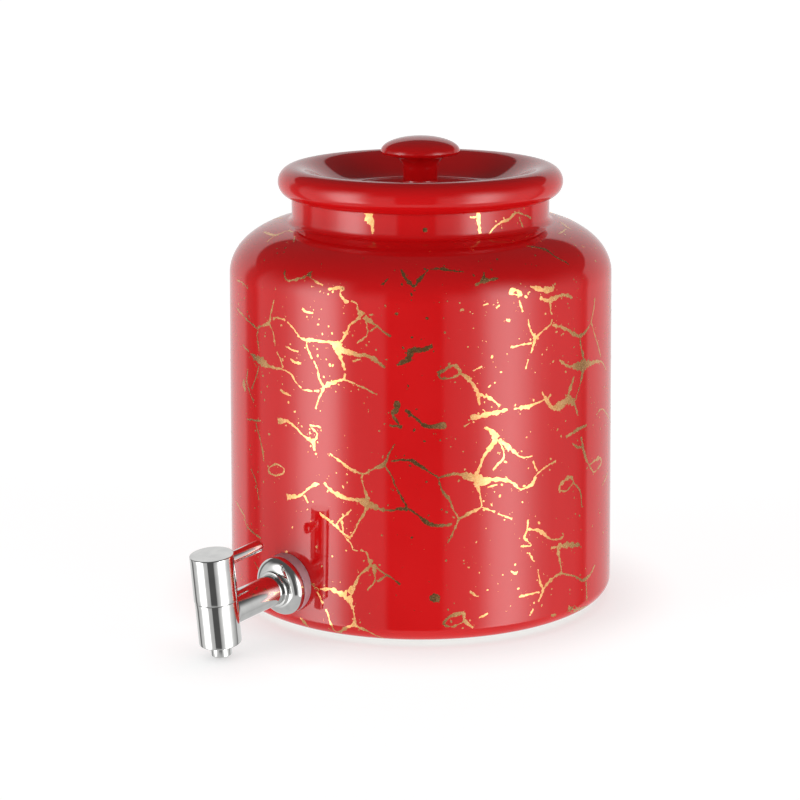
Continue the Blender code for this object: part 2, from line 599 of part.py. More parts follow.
def make_handle(handle_axis):
    """Turning cap over the barrel, and the rod lever that locks it to the spindle."""
    recess = CAP_RADIUS - CAP_WALL
    socket = SPINDLE_RADIUS + GAP
    socket_top = SPINDLE_TOP + GAP
    outline = [(0.0, socket_top), (socket, socket_top), (socket, CAP_RECESS_TOP),
               (recess, CAP_RECESS_TOP), (recess, CAP_BOTTOM),
               (CAP_RADIUS - CAP_CHAMFER, CAP_BOTTOM), (CAP_RADIUS, CAP_BOTTOM + CAP_CHAMFER),
               (CAP_RADIUS, CAP_TOP - CAP_CHAMFER), (CAP_RADIUS - CAP_CHAMFER, CAP_TOP),
               (0.0, CAP_TOP)]
    cap = turned("handle_cap", outline, BARREL_SIDES, parent=handle_axis)
    seat = CAP_RADIUS - LEVER_SEAT
    lever_place = {"parent": handle_axis, "location": (0.0, 0.0, LEVER_HEIGHT),
                   "rotation": ALONG_LEVER}
    tail_bore = LEVER_TAIL_RADIUS + GAP
    rod_bore = LEVER_RADIUS + GAP
    hole = turned("lever_hole", [(0.0, SPINDLE_RADIUS / 2), (tail_bore, SPINDLE_RADIUS / 2),
                                 (tail_bore, seat), (rod_bore, seat),
                                 (rod_bore, CAP_RADIUS + OVERRUN),
                                 (0.0, CAP_RADIUS + OVERRUN)], SMALL_SIDES, **lever_place)
    combine(cap, hole)
    outline = [(0.0, SPINDLE_RADIUS - LEVER_TAIL_IN_SPINDLE),
               (LEVER_TAIL_RADIUS, SPINDLE_RADIUS - LEVER_TAIL_IN_SPINDLE),
               (LEVER_TAIL_RADIUS, seat + GAP), (LEVER_RADIUS, seat + GAP)]
    outline += arc(0.0, LEVER_LENGTH - LEVER_RADIUS, LEVER_RADIUS, LEVER_RADIUS, 0, 90, 4)
    lever = turned("lever", outline, SMALL_SIDES, **lever_place)
    return cap, lever


GLAZE = finish("glazed stoneware", (0.58, 0.010, 0.012), 0.0, 0.08)
STEEL = finish("polished stainless steel", (0.72, 0.72, 0.71), 1.0, 0.06)
PLAIN_STEEL = finish("plain stainless steel", (0.55, 0.55, 0.54), 1.0, 0.30)
SILICONE = finish("silicone", (0.66, 0.40, 0.42), 0.0, 0.45)
BLACK_RUBBER = finish("black rubber", (0.02, 0.02, 0.02), 0.0, 0.60)
BRASS = finish("brass", (0.62, 0.42, 0.14), 1.0, 0.35)
ALUMINA = finish("alumina ceramic", (0.86, 0.85, 0.80), 0.0, 0.30)

FINISHES = {
    "jar": GLAZE, "lid": GLAZE, "tap_body": STEEL, "escutcheon": STEEL, "outlet_nozzle": STEEL,
    "handle_cap": STEEL, "lever": STEEL, "backing_washer": PLAIN_STEEL, "lock_nut": PLAIN_STEEL,
    "retaining_clip": PLAIN_STEEL, "outer_gasket": SILICONE, "inner_gasket": SILICONE,
    "seat_seal": SILICONE, "housing_seal": BLACK_RUBBER, "spindle_seal_lower": BLACK_RUBBER,
    "spindle_seal_upper": BLACK_RUBBER, "valve_housing": BRASS, "spindle": BRASS,
    "fixed_disc": ALUMINA, "moving_disc": ALUMINA,
}


def build():
    remove_everything()
    tap = frame_empty("tap_frame", (0.0, -side_radius(TAP_HEIGHT), TAP_HEIGHT),
                      (TAP_DROOP, 0.0, 0.0))
    barrel_axis = frame_empty("barrel_axis", (0.0, -TAP_REACH, 0.0), parent=tap)
    handle_axis = frame_empty("handle_axis", (0.0, -TAP_REACH, 0.0), parent=tap)
    make_jar(tap)
    turned("lid", lid_outline(), LID_SIDES)
    make_gaskets(tap)
    make_flange(tap)
    make_clamp(tap)
    make_tap_body(tap, barrel_axis)
    make_nozzle(barrel_axis)
    make_housing(barrel_axis)
    make_discs(barrel_axis, handle_axis)
    make_spindle(handle_axis)
    make_clip(handle_axis)
    make_handle(handle_axis)
    for name, look in FINISHES.items():
        bpy.data.objects[name].data.materials.append(look)
    bpy.context.view_layer.update()
    print("hinge at", tuple(round(value, 5) for value in handle_axis.matrix_world.translation))


build()
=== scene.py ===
# %% [markdown]
# # Red glazed drink jar with a steel tap
#
# This lesson dresses a drink dispenser: a red glazed stoneware jar with gold marble veins, its
# lift-off lid with a mushroom knob, and a mirror-polished steel tap. The plain solids come from
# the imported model. Each cell makes one piece or one finish over them, in metres, with the jar's
# axis on Z and the tap pointing along -Y.

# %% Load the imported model
import json
import math
import bpy
from mathutils import Matrix, Vector


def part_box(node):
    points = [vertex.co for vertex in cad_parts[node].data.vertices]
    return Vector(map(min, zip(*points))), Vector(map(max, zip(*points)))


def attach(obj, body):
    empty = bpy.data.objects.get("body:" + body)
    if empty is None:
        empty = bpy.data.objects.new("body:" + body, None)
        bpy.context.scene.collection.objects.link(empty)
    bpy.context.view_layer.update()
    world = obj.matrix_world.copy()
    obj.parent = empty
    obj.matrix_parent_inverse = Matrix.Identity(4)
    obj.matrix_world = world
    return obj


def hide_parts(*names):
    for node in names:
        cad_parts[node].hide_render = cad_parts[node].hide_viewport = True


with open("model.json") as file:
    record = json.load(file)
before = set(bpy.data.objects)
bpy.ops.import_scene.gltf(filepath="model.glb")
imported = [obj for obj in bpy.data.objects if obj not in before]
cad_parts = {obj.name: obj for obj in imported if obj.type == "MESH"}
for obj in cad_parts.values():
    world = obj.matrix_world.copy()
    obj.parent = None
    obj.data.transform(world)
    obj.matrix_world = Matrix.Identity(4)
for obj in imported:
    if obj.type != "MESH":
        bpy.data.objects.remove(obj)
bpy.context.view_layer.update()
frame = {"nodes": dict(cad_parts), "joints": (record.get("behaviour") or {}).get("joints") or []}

nodes = frame["nodes"]

# %% [markdown]
# ## Camera
#
# The jar was seen from about a metre and a half away, a little above its lid, with the tap
# turned to the left. A long lens keeps the rim's ellipse as flat as it is in the photograph.
# The place and the turns were fitted to the outlines, so they are written as plain numbers.

# %% Camera
IMAGE_SIDE = 800
FOCAL_PIXELS = 2438.3
SENSOR_WIDTH_MM = 36
CAMERA_DISTANCE = 1.4924
CAMERA_HEIGHT = 0.4772
CAMERA_SIDE = math.radians(41.6)
CAMERA_DOWN = 0.2325
CAMERA_YAW = -0.0087
CAMERA_ROLL = -0.0034

towards_camera = Vector((math.sin(CAMERA_SIDE), -math.cos(CAMERA_SIDE), 0.0))
to_the_right = Vector((math.cos(CAMERA_SIDE), math.sin(CAMERA_SIDE), 0.0))
straight_up = Vector((0.0, 0.0, 1.0))
camera_place = towards_camera * CAMERA_DISTANCE + straight_up * CAMERA_HEIGHT
level_look = to_the_right * math.sin(CAMERA_YAW) - towards_camera * math.cos(CAMERA_YAW)
look = level_look * math.cos(CAMERA_DOWN) - straight_up * math.sin(CAMERA_DOWN)
level_right = look.cross(straight_up).normalized()
level_up = level_right.cross(look)
view_right = level_right * math.cos(CAMERA_ROLL) + level_up * math.sin(CAMERA_ROLL)
view_up = view_right.cross(look)

camera = bpy.data.objects.new("camera", bpy.data.cameras.new("camera"))
camera.data.sensor_width = SENSOR_WIDTH_MM
camera.data.lens = FOCAL_PIXELS * SENSOR_WIDTH_MM / IMAGE_SIDE
camera.matrix_world = Matrix.Translation(camera_place) @ Matrix(
    (view_right, view_up, -look)).transposed().to_4x4()
bpy.context.scene.collection.objects.link(camera)
bpy.context.scene.camera = camera
bpy.context.scene.view_settings.view_transform = "Standard"
print("lens", round(camera.data.lens, 1), "mm")

# %% [markdown]
# ## Small helpers
#
# A colour is easiest to pick as a hex value, as on a colour chart, but a shader works with
# light, so one function turns hex into linear values. A second one adds a node with its
# settings and its links in one line, which keeps every material and every tree short.

# %% Colour and node helpers
def linear(hex_colour):
    """The linear colour, with an alpha of one, for an sRGB hex value."""
    channels = [int(hex_colour[start:start + 2], 16) / 255 for start in (0, 2, 4)]
    light = [c / 12.92 if c <= 0.04045 else ((c + 0.055) / 1.055) ** 2.4 for c in channels]
    return (*light, 1.0)


def add(tree, kind, inputs=None, **settings):
    """Adds a node with its settings; an input is a constant, or the socket that feeds it.

    A node may be given in place of its own first output.
    """
    node = tree.nodes.new(kind)
    for name, value in settings.items():
        setattr(node, name, value)
    for key, value in (inputs or {}).items():
        if isinstance(value, bpy.types.Node):
            value = value.outputs[0]
        if isinstance(value, bpy.types.NodeSocket):
            tree.links.new(value, node.inputs[key])
        else:
            node.inputs[key].default_value = value
    return node


# %% [markdown]
# ## Studio
#
# Glaze and polished steel show mostly what stands round them. The photograph's reflections
# tell what that was: two tall soft boxes left and right of the camera, dimmer white cards
# beside them, a white wall behind the jar that ends about thirty degrees up, dark gaps between
# these, next to nothing overhead, and an even pale grey table below. Lamps and planes could be
# built for each, but a world shader draws them with no noise: each is a ramp over the compass,
# times a fade with height. The camera itself sees plain white.

# %% Light by compass direction, in degrees from the camera
LEFT_BOX = [(-180, 0), (-94, 0), (-87, 0.3), (-80.5, 1.0), (-74.5, 2.4), (-68.5, 3.35),
            (-63, 3.8), (-57.5, 3.8), (-52, 2.8), (-47, 1.1), (-42, 0.2), (-38, 0), (180, 0)]
RIGHT_BOX = [(-180, 0), (28, 0), (34, 0.4), (38.5, 1.35), (43.5, 2.6), (49, 3.2), (54, 3.45),
             (59, 2.95), (65, 1.95), (70.5, 1.0), (76.5, 0.35), (84, 0), (180, 0)]
WHITE_CARDS = [(-180, 0), (-116, 0.05), (-114, 0.15), (-110, 0.54), (-96, 0.6), (-44, 0.6),
               (-37, 0.55), (-30, 0.5), (-22, 0.46), (-19, 0), (12, 0), (14.5, 0.3),
               (19.5, 0.45), (24, 0.55), (29, 0.64), (82, 0.7), (96, 0.52), (104, 0.4),
               (112, 0.16), (117, 0.05), (180, 0)]
BACK_WALL = [(-180, 0.72), (-136, 0.64), (-131, 0.6), (-126, 0.08), (-116, 0), (114, 0),
             (116.5, 0.12), (119.5, 0.58), (180, 0.72)]
BRIGHTEST = 4.0
BOX_TOP_SHARES = (0.10, 0.78)
CARD_TOP_SHARES = (0.0, 0.6)
WALL_TOP_SHARES = (0.54, 0.60)
NEAREST_WALL = 0.1
TABLE_SHARES = (-0.50, -0.62)
TABLE_LIGHT = 0.6
OVERHEAD = 0.1


def compass_ramp(tree, azimuth, stops):
    """Light by compass direction: a ramp over the full turn, in degrees from the camera."""
    share = add(tree, "ShaderNodeMapRange", {"Value": azimuth, "From Min": -math.pi,
                                             "From Max": math.pi})
    ramp = add(tree, "ShaderNodeValToRGB", {"Fac": share.outputs["Result"]})
    elements = ramp.color_ramp.elements
    elements.remove(elements[1])
    for number, (degrees, light) in enumerate(stops):
        place = degrees / 360 + 0.5
        element = elements[0] if number == 0 else elements.new(place)
        element.position = place
        element.color = (light / BRIGHTEST, light / BRIGHTEST, light / BRIGHTEST, 1.0)
    return add(tree, "ShaderNodeMath", {0: ramp.outputs["Color"], 1: BRIGHTEST},
               operation="MULTIPLY").outputs[0]


def faded(tree, light, rise, shares):
    """The light, faded out softly where the rise goes from the first share to the second."""
    left = add(tree, "ShaderNodeMapRange", {
        "Value": rise, "From Min": shares[0], "From Max": shares[1], "To Min": 1.0,
        "To Max": 0.0}, interpolation_type="SMOOTHSTEP").outputs["Result"]
    return add(tree, "ShaderNodeMath", {0: light, 1: left}, operation="MULTIPLY").outputs[0]


# %% Studio
world = bpy.data.worlds.new("studio")
world.use_nodes = True
bpy.context.scene.world = world
studio = world.node_tree
studio.nodes.clear()
direction = add(studio, "ShaderNodeTexCoord").outputs["Generated"]
sideways = add(studio, "ShaderNodeVectorMath", {0: direction, 1: to_the_right},
               operation="DOT_PRODUCT").outputs["Value"]
forwards = add(studio, "ShaderNodeVectorMath", {0: direction, 1: towards_camera},
               operation="DOT_PRODUCT").outputs["Value"]
compass = add(studio, "ShaderNodeMath", {0: sideways, 1: forwards},
              operation="ARCTAN2")
height = add(studio, "ShaderNodeSeparateXYZ", {"Vector": direction}).outputs["Z"]
backwards = add(studio, "ShaderNodeMath", {0: forwards, 1: -1.0}, operation="MULTIPLY")
to_the_wall = add(studio, "ShaderNodeMath", {0: backwards, 1: NEAREST_WALL},
                  operation="MAXIMUM")
wall_rise = add(studio, "ShaderNodeMath", {0: height, 1: to_the_wall},
                operation="DIVIDE").outputs[0]
seen_light = OVERHEAD
for stops, rise, shares in ((LEFT_BOX, height, BOX_TOP_SHARES),
                            (RIGHT_BOX, height, BOX_TOP_SHARES),
                            (WHITE_CARDS, height, CARD_TOP_SHARES),
                            (BACK_WALL, wall_rise, WALL_TOP_SHARES)):
    piece_of_studio = faded(studio, compass_ramp(studio, compass, stops), rise, shares)
    seen_light = add(studio, "ShaderNodeMath", {0: seen_light, 1: piece_of_studio},
                     operation="ADD")
table_share = add(studio, "ShaderNodeMapRange", {
    "Value": height, "From Min": TABLE_SHARES[0], "From Max": TABLE_SHARES[1], "To Min": 0.0,
    "To Max": 1.0}, interpolation_type="SMOOTHSTEP").outputs["Result"]
seen_light = add(studio, "ShaderNodeMix", {0: table_share, 2: seen_light,
                                           3: TABLE_LIGHT})
camera_ray = add(studio, "ShaderNodeLightPath").outputs["Is Camera Ray"]
strength = add(studio, "ShaderNodeMix", {0: camera_ray, 2: seen_light, 3: 1.0})
backdrop = add(studio, "ShaderNodeBackground", {"Color": linear("FFFFFF"), "Strength": strength})
add(studio, "ShaderNodeOutputWorld", {"Surface": backdrop.outputs["Background"]})
print(len(studio.nodes), "nodes in the studio")

# %% [markdown]
# ## Floor
#
# The jar stands on a plain white table top. It runs far past the view so that no edge shows,
# and a trace of mottle keeps it from being a flat fill. Most of its white is its own glow, so
# the jar throws little red on it, and the glow dims within a few centimetres of whatever
# stands on it, which leaves the soft grey contact shadow of the photograph. It is left out of
# mirror reflections, because there the steel and the glaze show the studio and not the table.

# %% Floor
FLOOR_HALF = 6.0
TABLE_GLOW = 0.90
CONTACT_REACH = 0.05
CONTACT_SHARE = 0.62
SHADOW_SAMPLES = 16
FLOOR_MOTTLES = 3.0
SHUT_IN = 0.2

floor_finish = bpy.data.materials.new("matt white table top")
floor_finish.use_nodes = True
floor_tree = floor_finish.node_tree
floor_shader = floor_tree.nodes["Principled BSDF"]
floor_place = add(floor_tree, "ShaderNodeTexCoord").outputs["Object"]
mottle = add(floor_tree, "ShaderNodeTexNoise", {"Vector": floor_place, "Scale": FLOOR_MOTTLES})
floor_colour = add(floor_tree, "ShaderNodeMix", {0: mottle.outputs["Fac"], 6: linear("A0A0A0"),
                                                 7: linear("A6A6A6")}, data_type="RGBA")
open_sky = add(floor_tree, "ShaderNodeAmbientOcclusion", {"Distance": CONTACT_REACH},
               samples=SHADOW_SAMPLES)
glow = add(floor_tree, "ShaderNodeMapRange", {
    "Value": open_sky.outputs["AO"], "From Min": SHUT_IN, "From Max": 1.0,
    "To Min": TABLE_GLOW * CONTACT_SHARE, "To Max": TABLE_GLOW})
floor_tree.links.new(floor_colour.outputs[2], floor_shader.inputs["Base Color"])
floor_shader.inputs["Roughness"].default_value = 0.9
floor_shader.inputs["Emission Color"].default_value = linear("FFFFFF")
floor_tree.links.new(glow.outputs["Result"], floor_shader.inputs["Emission Strength"])
floor_mesh = bpy.data.meshes.new("table_top")
floor_mesh.from_pydata([(-FLOOR_HALF, -FLOOR_HALF, 0), (FLOOR_HALF, -FLOOR_HALF, 0),
                        (FLOOR_HALF, FLOOR_HALF, 0), (-FLOOR_HALF, FLOOR_HALF, 0)], [],
                       [(0, 1, 2, 3)])
floor_mesh.materials.append(floor_finish)
table_top = bpy.data.objects.new("table_top", floor_mesh)
table_top.visible_glossy = False
bpy.context.scene.collection.objects.link(table_top)

# %% [markdown]
# ## Tree for turned pieces
#
# The jar and its lid are thrown on a wheel and the steel parts are turned on a lathe, so each
# is one outline swept round an axis. Spinning by hand would do, but a node tree states the rule
# once: a grid takes its rows from the outline's points and its columns from the steps round the
# axis. The same tree cuts a screw thread, because a thread is only a radius that rises and
# falls with the height and the angle.

# %% Node tree that turns an outline
SEAM_REACH = 0.000001


def new_tree(name, sizes):
    """An empty geometry tree with named inputs, its input node and its output node."""
    tree = bpy.data.node_groups.new(name, "GeometryNodeTree")
    tree.interface.new_socket("Geometry", in_out="INPUT", socket_type="NodeSocketGeometry")
    for label, kind in sizes:
        tree.interface.new_socket(label, in_out="INPUT", socket_type="NodeSocket" + kind)
    tree.interface.new_socket("Geometry", in_out="OUTPUT", socket_type="NodeSocketGeometry")
    return tree, add(tree, "NodeGroupInput").outputs, add(tree, "NodeGroupOutput")


turning_tree, given, turned_out = new_tree("turned_piece", [
    ("Sides", "Int"), ("Thread Pitch", "Float"), ("Thread Depth", "Float"),
    ("Finish", "Material")])
points = add(turning_tree, "GeometryNodeAttributeDomainSize", {"Geometry": given["Geometry"]})
columns = add(turning_tree, "FunctionNodeIntegerMath", {0: given["Sides"], 1: 1},
              operation="ADD")
grid = add(turning_tree, "GeometryNodeMeshGrid", {
    "Vertices X": points.outputs["Point Count"], "Vertices Y": columns}).outputs["Mesh"]
index = add(turning_tree, "GeometryNodeInputIndex")
row = add(turning_tree, "FunctionNodeIntegerMath", {0: index, 1: columns},
          operation="DIVIDE_FLOOR")
column = add(turning_tree, "FunctionNodeIntegerMath", {0: index, 1: columns},
             operation="MODULO")
turn = add(turning_tree, "ShaderNodeMath", {0: column, 1: given["Sides"]},
           operation="DIVIDE")
outline_point = add(turning_tree, "GeometryNodeInputPosition")
corner = add(turning_tree, "GeometryNodeSampleIndex", {
    "Geometry": given["Geometry"], "Value": outline_point, "Index": row},
             data_type="FLOAT_VECTOR")
thread_mark = add(turning_tree, "GeometryNodeInputNamedAttribute",
                  {"Name": "threaded"})
threaded = add(turning_tree, "GeometryNodeSampleIndex", {
    "Geometry": given["Geometry"], "Value": thread_mark, "Index": row},
               data_type="FLOAT")
rise = add(turning_tree, "ShaderNodeSeparateXYZ", {"Vector": corner}).outputs["Z"]
turns_up = add(turning_tree, "ShaderNodeMath", {0: rise, 1: given["Thread Pitch"]},
               operation="DIVIDE")
around = add(turning_tree, "ShaderNodeMath", {0: turns_up, 1: turn},
             operation="SUBTRACT")
flank = add(turning_tree, "ShaderNodeMath", {0: around, 1: 0.5}, operation="PINGPONG")
cut = add(turning_tree, "ShaderNodeMath", {0: flank, 1: given["Thread Depth"]},
          operation="MULTIPLY")
deep = add(turning_tree, "ShaderNodeMath", {0: cut, 1: threaded}, operation="MULTIPLY")
inwards = add(turning_tree, "ShaderNodeCombineXYZ", {"X": deep})
section_point = add(turning_tree, "ShaderNodeVectorMath", {0: corner, 1: inwards},
                    operation="SUBTRACT")
angle = add(turning_tree, "ShaderNodeMath", {0: turn, 1: math.tau},
            operation="MULTIPLY")
swung = add(turning_tree, "ShaderNodeVectorRotate", {"Vector": section_point, "Angle": angle},
            rotation_type="Z_AXIS")
surface = add(turning_tree, "GeometryNodeSetPosition", {"Geometry": grid, "Position": swung})
closed = add(turning_tree, "GeometryNodeMergeByDistance", {
    "Geometry": surface.outputs[0], "Distance": SEAM_REACH})
facing_out = add(turning_tree, "GeometryNodeFlipFaces", {"Mesh": closed})
whole = add(turning_tree, "GeometryNodeRealizeInstances", {"Geometry": facing_out})
finished = add(turning_tree, "GeometryNodeSetMaterial", {
    "Geometry": whole, "Material": given["Finish"]}).outputs[0]
turning_tree.links.new(finished, turned_out.inputs[0])


# %% Baking a tree into a plain mesh
SOFT_EDGE = math.radians(38)


def baked(name, start_mesh, tree, values):
    """Runs a tree on a start mesh and returns an object that holds the plain result."""
    piece = bpy.data.objects.new(name, start_mesh)
    bpy.context.scene.collection.objects.link(piece)
    modifier = piece.modifiers.new(tree.name, "NODES")
    modifier.node_group = tree
    for item in tree.interface.items_tree:
        if item.in_out == "INPUT" and item.name in values:
            modifier[item.identifier] = values[item.name]
    view_layer = bpy.context.evaluated_depsgraph_get()
    mesh = bpy.data.meshes.new_from_object(piece.evaluated_get(view_layer))
    piece.modifiers.clear()
    piece.data = mesh
    mesh.shade_smooth()
    mesh.set_sharp_from_angle(angle=SOFT_EDGE)
    return piece


def turned(name, outline, sides, finish, place=Matrix.Identity(4), thread=(), pitch=0.001,
           depth=0.0):
    """Turns (radius, height) points round the Z axis, then lays the piece in its place."""
    section = bpy.data.meshes.new(name + "_section")
    section.from_pydata([(radius, 0.0, height) for radius, height in outline], [], [])
    marks = section.attributes.new("threaded", "FLOAT", "POINT")
    for number in thread:
        marks.data[number].value = 1.0
    piece = baked(name, section, turning_tree, {
        "Sides": sides, "Thread Pitch": pitch, "Thread Depth": depth, "Finish": finish})
    piece.data.transform(place)
    print(name, len(piece.data.polygons), "faces")
    return piece


def arc(centre_radius, centre_height, width, height, start, end, steps):
    """Points on a stretch of an ellipse, as (radius, height) pairs; angles in degrees."""
    stretch = []
    for step in range(steps + 1):
        degrees = math.radians(start + (end - start) * step / steps)
        stretch.append((centre_radius + width * math.cos(degrees),
                        centre_height + height * math.sin(degrees)))
    return stretch


def low_edge(radius, height, size, steps):
    """A rounded outer edge just inside a low corner, from its underside up."""
    return arc(radius - size, height + size, size, size, -90, 0, steps)


def high_edge(radius, height, size, steps):
    """A rounded outer edge just inside a high corner, from its side in over the top."""
    return arc(radius - size, height - size, size, size, 0, 90, steps)


def straight(start, end, steps):
    """Even points between two corners of an outline, both corners included."""
    return [(start[0] + (end[0] - start[0]) * step / steps,
             start[1] + (end[1] - start[1]) * step / steps) for step in range(steps + 1)]


def set_back(outline, depth):
    """The outline moved inwards by a depth, square to itself."""
    moved = []
    for number, (radius, height) in enumerate(outline):
        before = outline[max(number - 1, 0)]
        after = outline[min(number + 1, len(outline) - 1)]
        length = math.dist(before, after)
        moved.append((radius - depth * (after[1] - before[1]) / length,
                      height + depth * (after[0] - before[0]) / length))
    return moved


# %% [markdown]
# ## Glaze
#
# The jar and the lid are dipped in a signal-red glaze and fired: a thin, clear, coloured glass
# over a pale body. It is smooth enough to mirror the soft boxes, but never quite flat: it keeps
# a faint orange-peel waviness a few millimetres across, and it runs thinner over edges. So the
# shader is a non-metal with glass's refraction, low roughness, a slow change of tone and two
# very shallow bumps.

# %% Finishes that drift in patches of a real size
def uneven(tree, place, patch_mm, low, high, detail=2.0):
    """A value that drifts between two others in patches of a real size."""
    noise = add(tree, "ShaderNodeTexNoise", {"Vector": place, "Scale": 1000 / patch_mm,
                                             "Detail": detail}).outputs["Fac"]
    return add(tree, "ShaderNodeMapRange", {"Value": noise, "From Min": 0.3, "From Max": 0.7,
                                            "To Min": low, "To Max": high}).outputs["Result"]


def mottled(tree, place, patch_mm, first, second, detail=2.0):
    """A colour that drifts between two hex colours in patches of a real size."""
    share = uneven(tree, place, patch_mm, 0.0, 1.0, detail)
    return add(tree, "ShaderNodeMix", {0: share, 6: linear(first), 7: linear(second)},
               data_type="RGBA").outputs[2]


def relief(tree, place, patch_mm, height_mm, detail=1.0, over=None):
    """A surface with bumps of a real width and height, over earlier ones if there are any."""
    noise = add(tree, "ShaderNodeTexNoise", {"Vector": place, "Scale": 1000 / patch_mm,
                                             "Detail": detail}).outputs["Fac"]
    bumps = {"Height": noise, "Distance": height_mm / 1000, "Strength": 1.0}
    if over is not None:
        bumps["Normal"] = over
    return add(tree, "ShaderNodeBump", bumps).outputs["Normal"]


def new_finish(name, colour, bumps, roughness, smears=None, metallic=0.0, drawn_out=1.0):
    """A material with a mottled colour, relief bumps and, if asked for, uneven smears.

    Each is given as that helper takes it. Drawn-out bumps are packed closer along Z.
    """
    finish = bpy.data.materials.new(name)
    finish.use_nodes = True
    tree = finish.node_tree
    shader = tree.nodes["Principled BSDF"]
    shader.inputs["Roughness"].default_value = roughness
    shader.inputs["Metallic"].default_value = metallic
    place = add(tree, "ShaderNodeTexCoord").outputs["Object"]
    tree.links.new(mottled(tree, place, *colour), shader.inputs["Base Color"])
    if smears:
        tree.links.new(uneven(tree, place, *smears), shader.inputs["Roughness"])
    if drawn_out != 1.0:
        place = add(tree, "ShaderNodeMapping", {
            "Vector": place, "Scale": (1.0, 1.0, drawn_out)}).outputs["Vector"]
    surface = None
    for bump in bumps:
        surface = relief(tree, place, *bump, over=surface)
    tree.links.new(surface, shader.inputs["Normal"])
    return finish


# %% Red glaze, white glaze and bare clay
# The eye reads wet, deep glass over clay: crisp highlights whose edges waver a little, and a
# red that is never one flat fill.
red_glaze = new_finish("red glaze on stoneware", (70, "D91013", "E11518"),
                       [(9, 0.004), (2.4, 0.0005)], 0.05, (18, 0.035, 0.065))
red_glaze.node_tree.nodes["Principled BSDF"].inputs["IOR"].default_value = 1.52

# The foot is dipped in a plainer, milkier glaze, which looks clean and catches less light.
white_glaze = new_finish("white liner glaze", (25, "EFEAE0", "F6F3EC"), [(6, 0.006)], 0.12)

# Bare clay is matt and grainy, which tells the eye where the wall was bored.
bare_clay = new_finish("bare fired stoneware", (1.5, "C9B79B", "E0D2B8"), [(0.8, 0.03, 3.0)],
                       0.85)

# %% [markdown]
# ## Jar
#
# The jar is one thrown piece, glazed red inside and out over a white foot: a rounded base
# corner, a side that leans in by two millimetres, a round shoulder, and a short neck with a
# lip. Its outline is drawn once, down the outside and back up the inside, and turned in fine
# steps so that the mirror reflections stay smooth. The skin is set back by the thickness of
# the gold, so the gold is the outermost layer. The hole for the tap is bored last.

# %% Jar's outline
GOLD_THICKNESS = 0.00005
FOOT_RADIUS = 0.1000
FOOT_HEIGHT = 0.0035
FOOT_ROUND = 0.0008
BASE_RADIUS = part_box("jar")[1].x
BASE_CORNER_WIDTH = 0.0105
BASE_CORNER_HEIGHT = 0.0095
BEVEL_MEETS_CORNER = -70
SIDE_TOP = 0.2070
SIDE_TOP_RADIUS = 0.1183
SHOULDER_WIDTH = 0.0455
SHOULDER_RISE = 0.0325
NECK_RADIUS = 0.0795
NECK_FILLET = 0.0040
LIP_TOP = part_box("jar")[1].z
LIP_ROUND = 0.0030
JAR_WALL = 0.0075
FLOOR_THICKNESS = 0.0120
INNER_CORNER = 0.0025
JAR_SIDES = 288

corner_top = FOOT_HEIGHT + BASE_CORNER_HEIGHT
shoulder_centre = SIDE_TOP_RADIUS - SHOULDER_WIDTH
neck_bore = NECK_RADIUS - JAR_WALL
meets_fillet = (NECK_RADIUS + NECK_FILLET - shoulder_centre) / SHOULDER_WIDTH
shoulder_end = math.degrees(math.acos(meets_fillet))
fillet_height = SIDE_TOP + SHOULDER_RISE * math.sin(math.acos(meets_fillet)) + NECK_FILLET
outside = arc(BASE_RADIUS - BASE_CORNER_WIDTH, corner_top, BASE_CORNER_WIDTH,
              BASE_CORNER_HEIGHT, BEVEL_MEETS_CORNER, 0, 16)
outside += straight((BASE_RADIUS, corner_top), (SIDE_TOP_RADIUS, SIDE_TOP), 40)[1:]
outside += arc(shoulder_centre, SIDE_TOP, SHOULDER_WIDTH, SHOULDER_RISE, 0, shoulder_end, 32)[1:]
outside += arc(NECK_RADIUS + NECK_FILLET, fillet_height, NECK_FILLET, NECK_FILLET,
               270, 180, 10)[1:]
outside += straight((NECK_RADIUS, fillet_height), (NECK_RADIUS, LIP_TOP - LIP_ROUND), 6)[1:]
outside += high_edge(NECK_RADIUS, LIP_TOP, LIP_ROUND, 8)[1:]
print("outside", len(outside), "points, shoulder ends at", round(shoulder_end, 1), "degrees")

# %% Jar turned from it
inner_width = SHOULDER_WIDTH - JAR_WALL
inner_end = math.degrees(math.acos((neck_bore - shoulder_centre) / inner_width))
inner_foot = FLOOR_THICKNESS + INNER_CORNER
inner_base = BASE_RADIUS - JAR_WALL
inside = arc(neck_bore + LIP_ROUND, LIP_TOP - LIP_ROUND, LIP_ROUND, LIP_ROUND, 90, 180, 8)
inside += arc(shoulder_centre, SIDE_TOP, inner_width, SHOULDER_RISE - JAR_WALL, inner_end, 0, 16)
inside += straight((SIDE_TOP_RADIUS - JAR_WALL, SIDE_TOP), (inner_base, inner_foot), 24)[1:]
inside += arc(inner_base - INNER_CORNER, inner_foot, INNER_CORNER, INNER_CORNER, 0, -90, 8)[1:]
inside.append((0.0, FLOOR_THICKNESS))
foot = straight((0.0, 0.0), (FOOT_RADIUS - FOOT_ROUND, 0.0), 6)
foot.append((FOOT_RADIUS, FOOT_ROUND / 4))
skin = set_back(outside, GOLD_THICKNESS)
jar = turned("jar_glazed", foot + skin + inside, JAR_SIDES, red_glaze)
jar.data.materials.append(white_glaze)
foot_finish = len(jar.data.materials) - 1
jar.data.materials.append(bare_clay)
for face in jar.data.polygons:
    if face.center.z < FOOT_HEIGHT + GOLD_THICKNESS * 4:
        face.material_index = foot_finish
print("jar reaches", max(vertex.co.x for vertex in jar.data.vertices),
      max(vertex.co.z for vertex in jar.data.vertices))

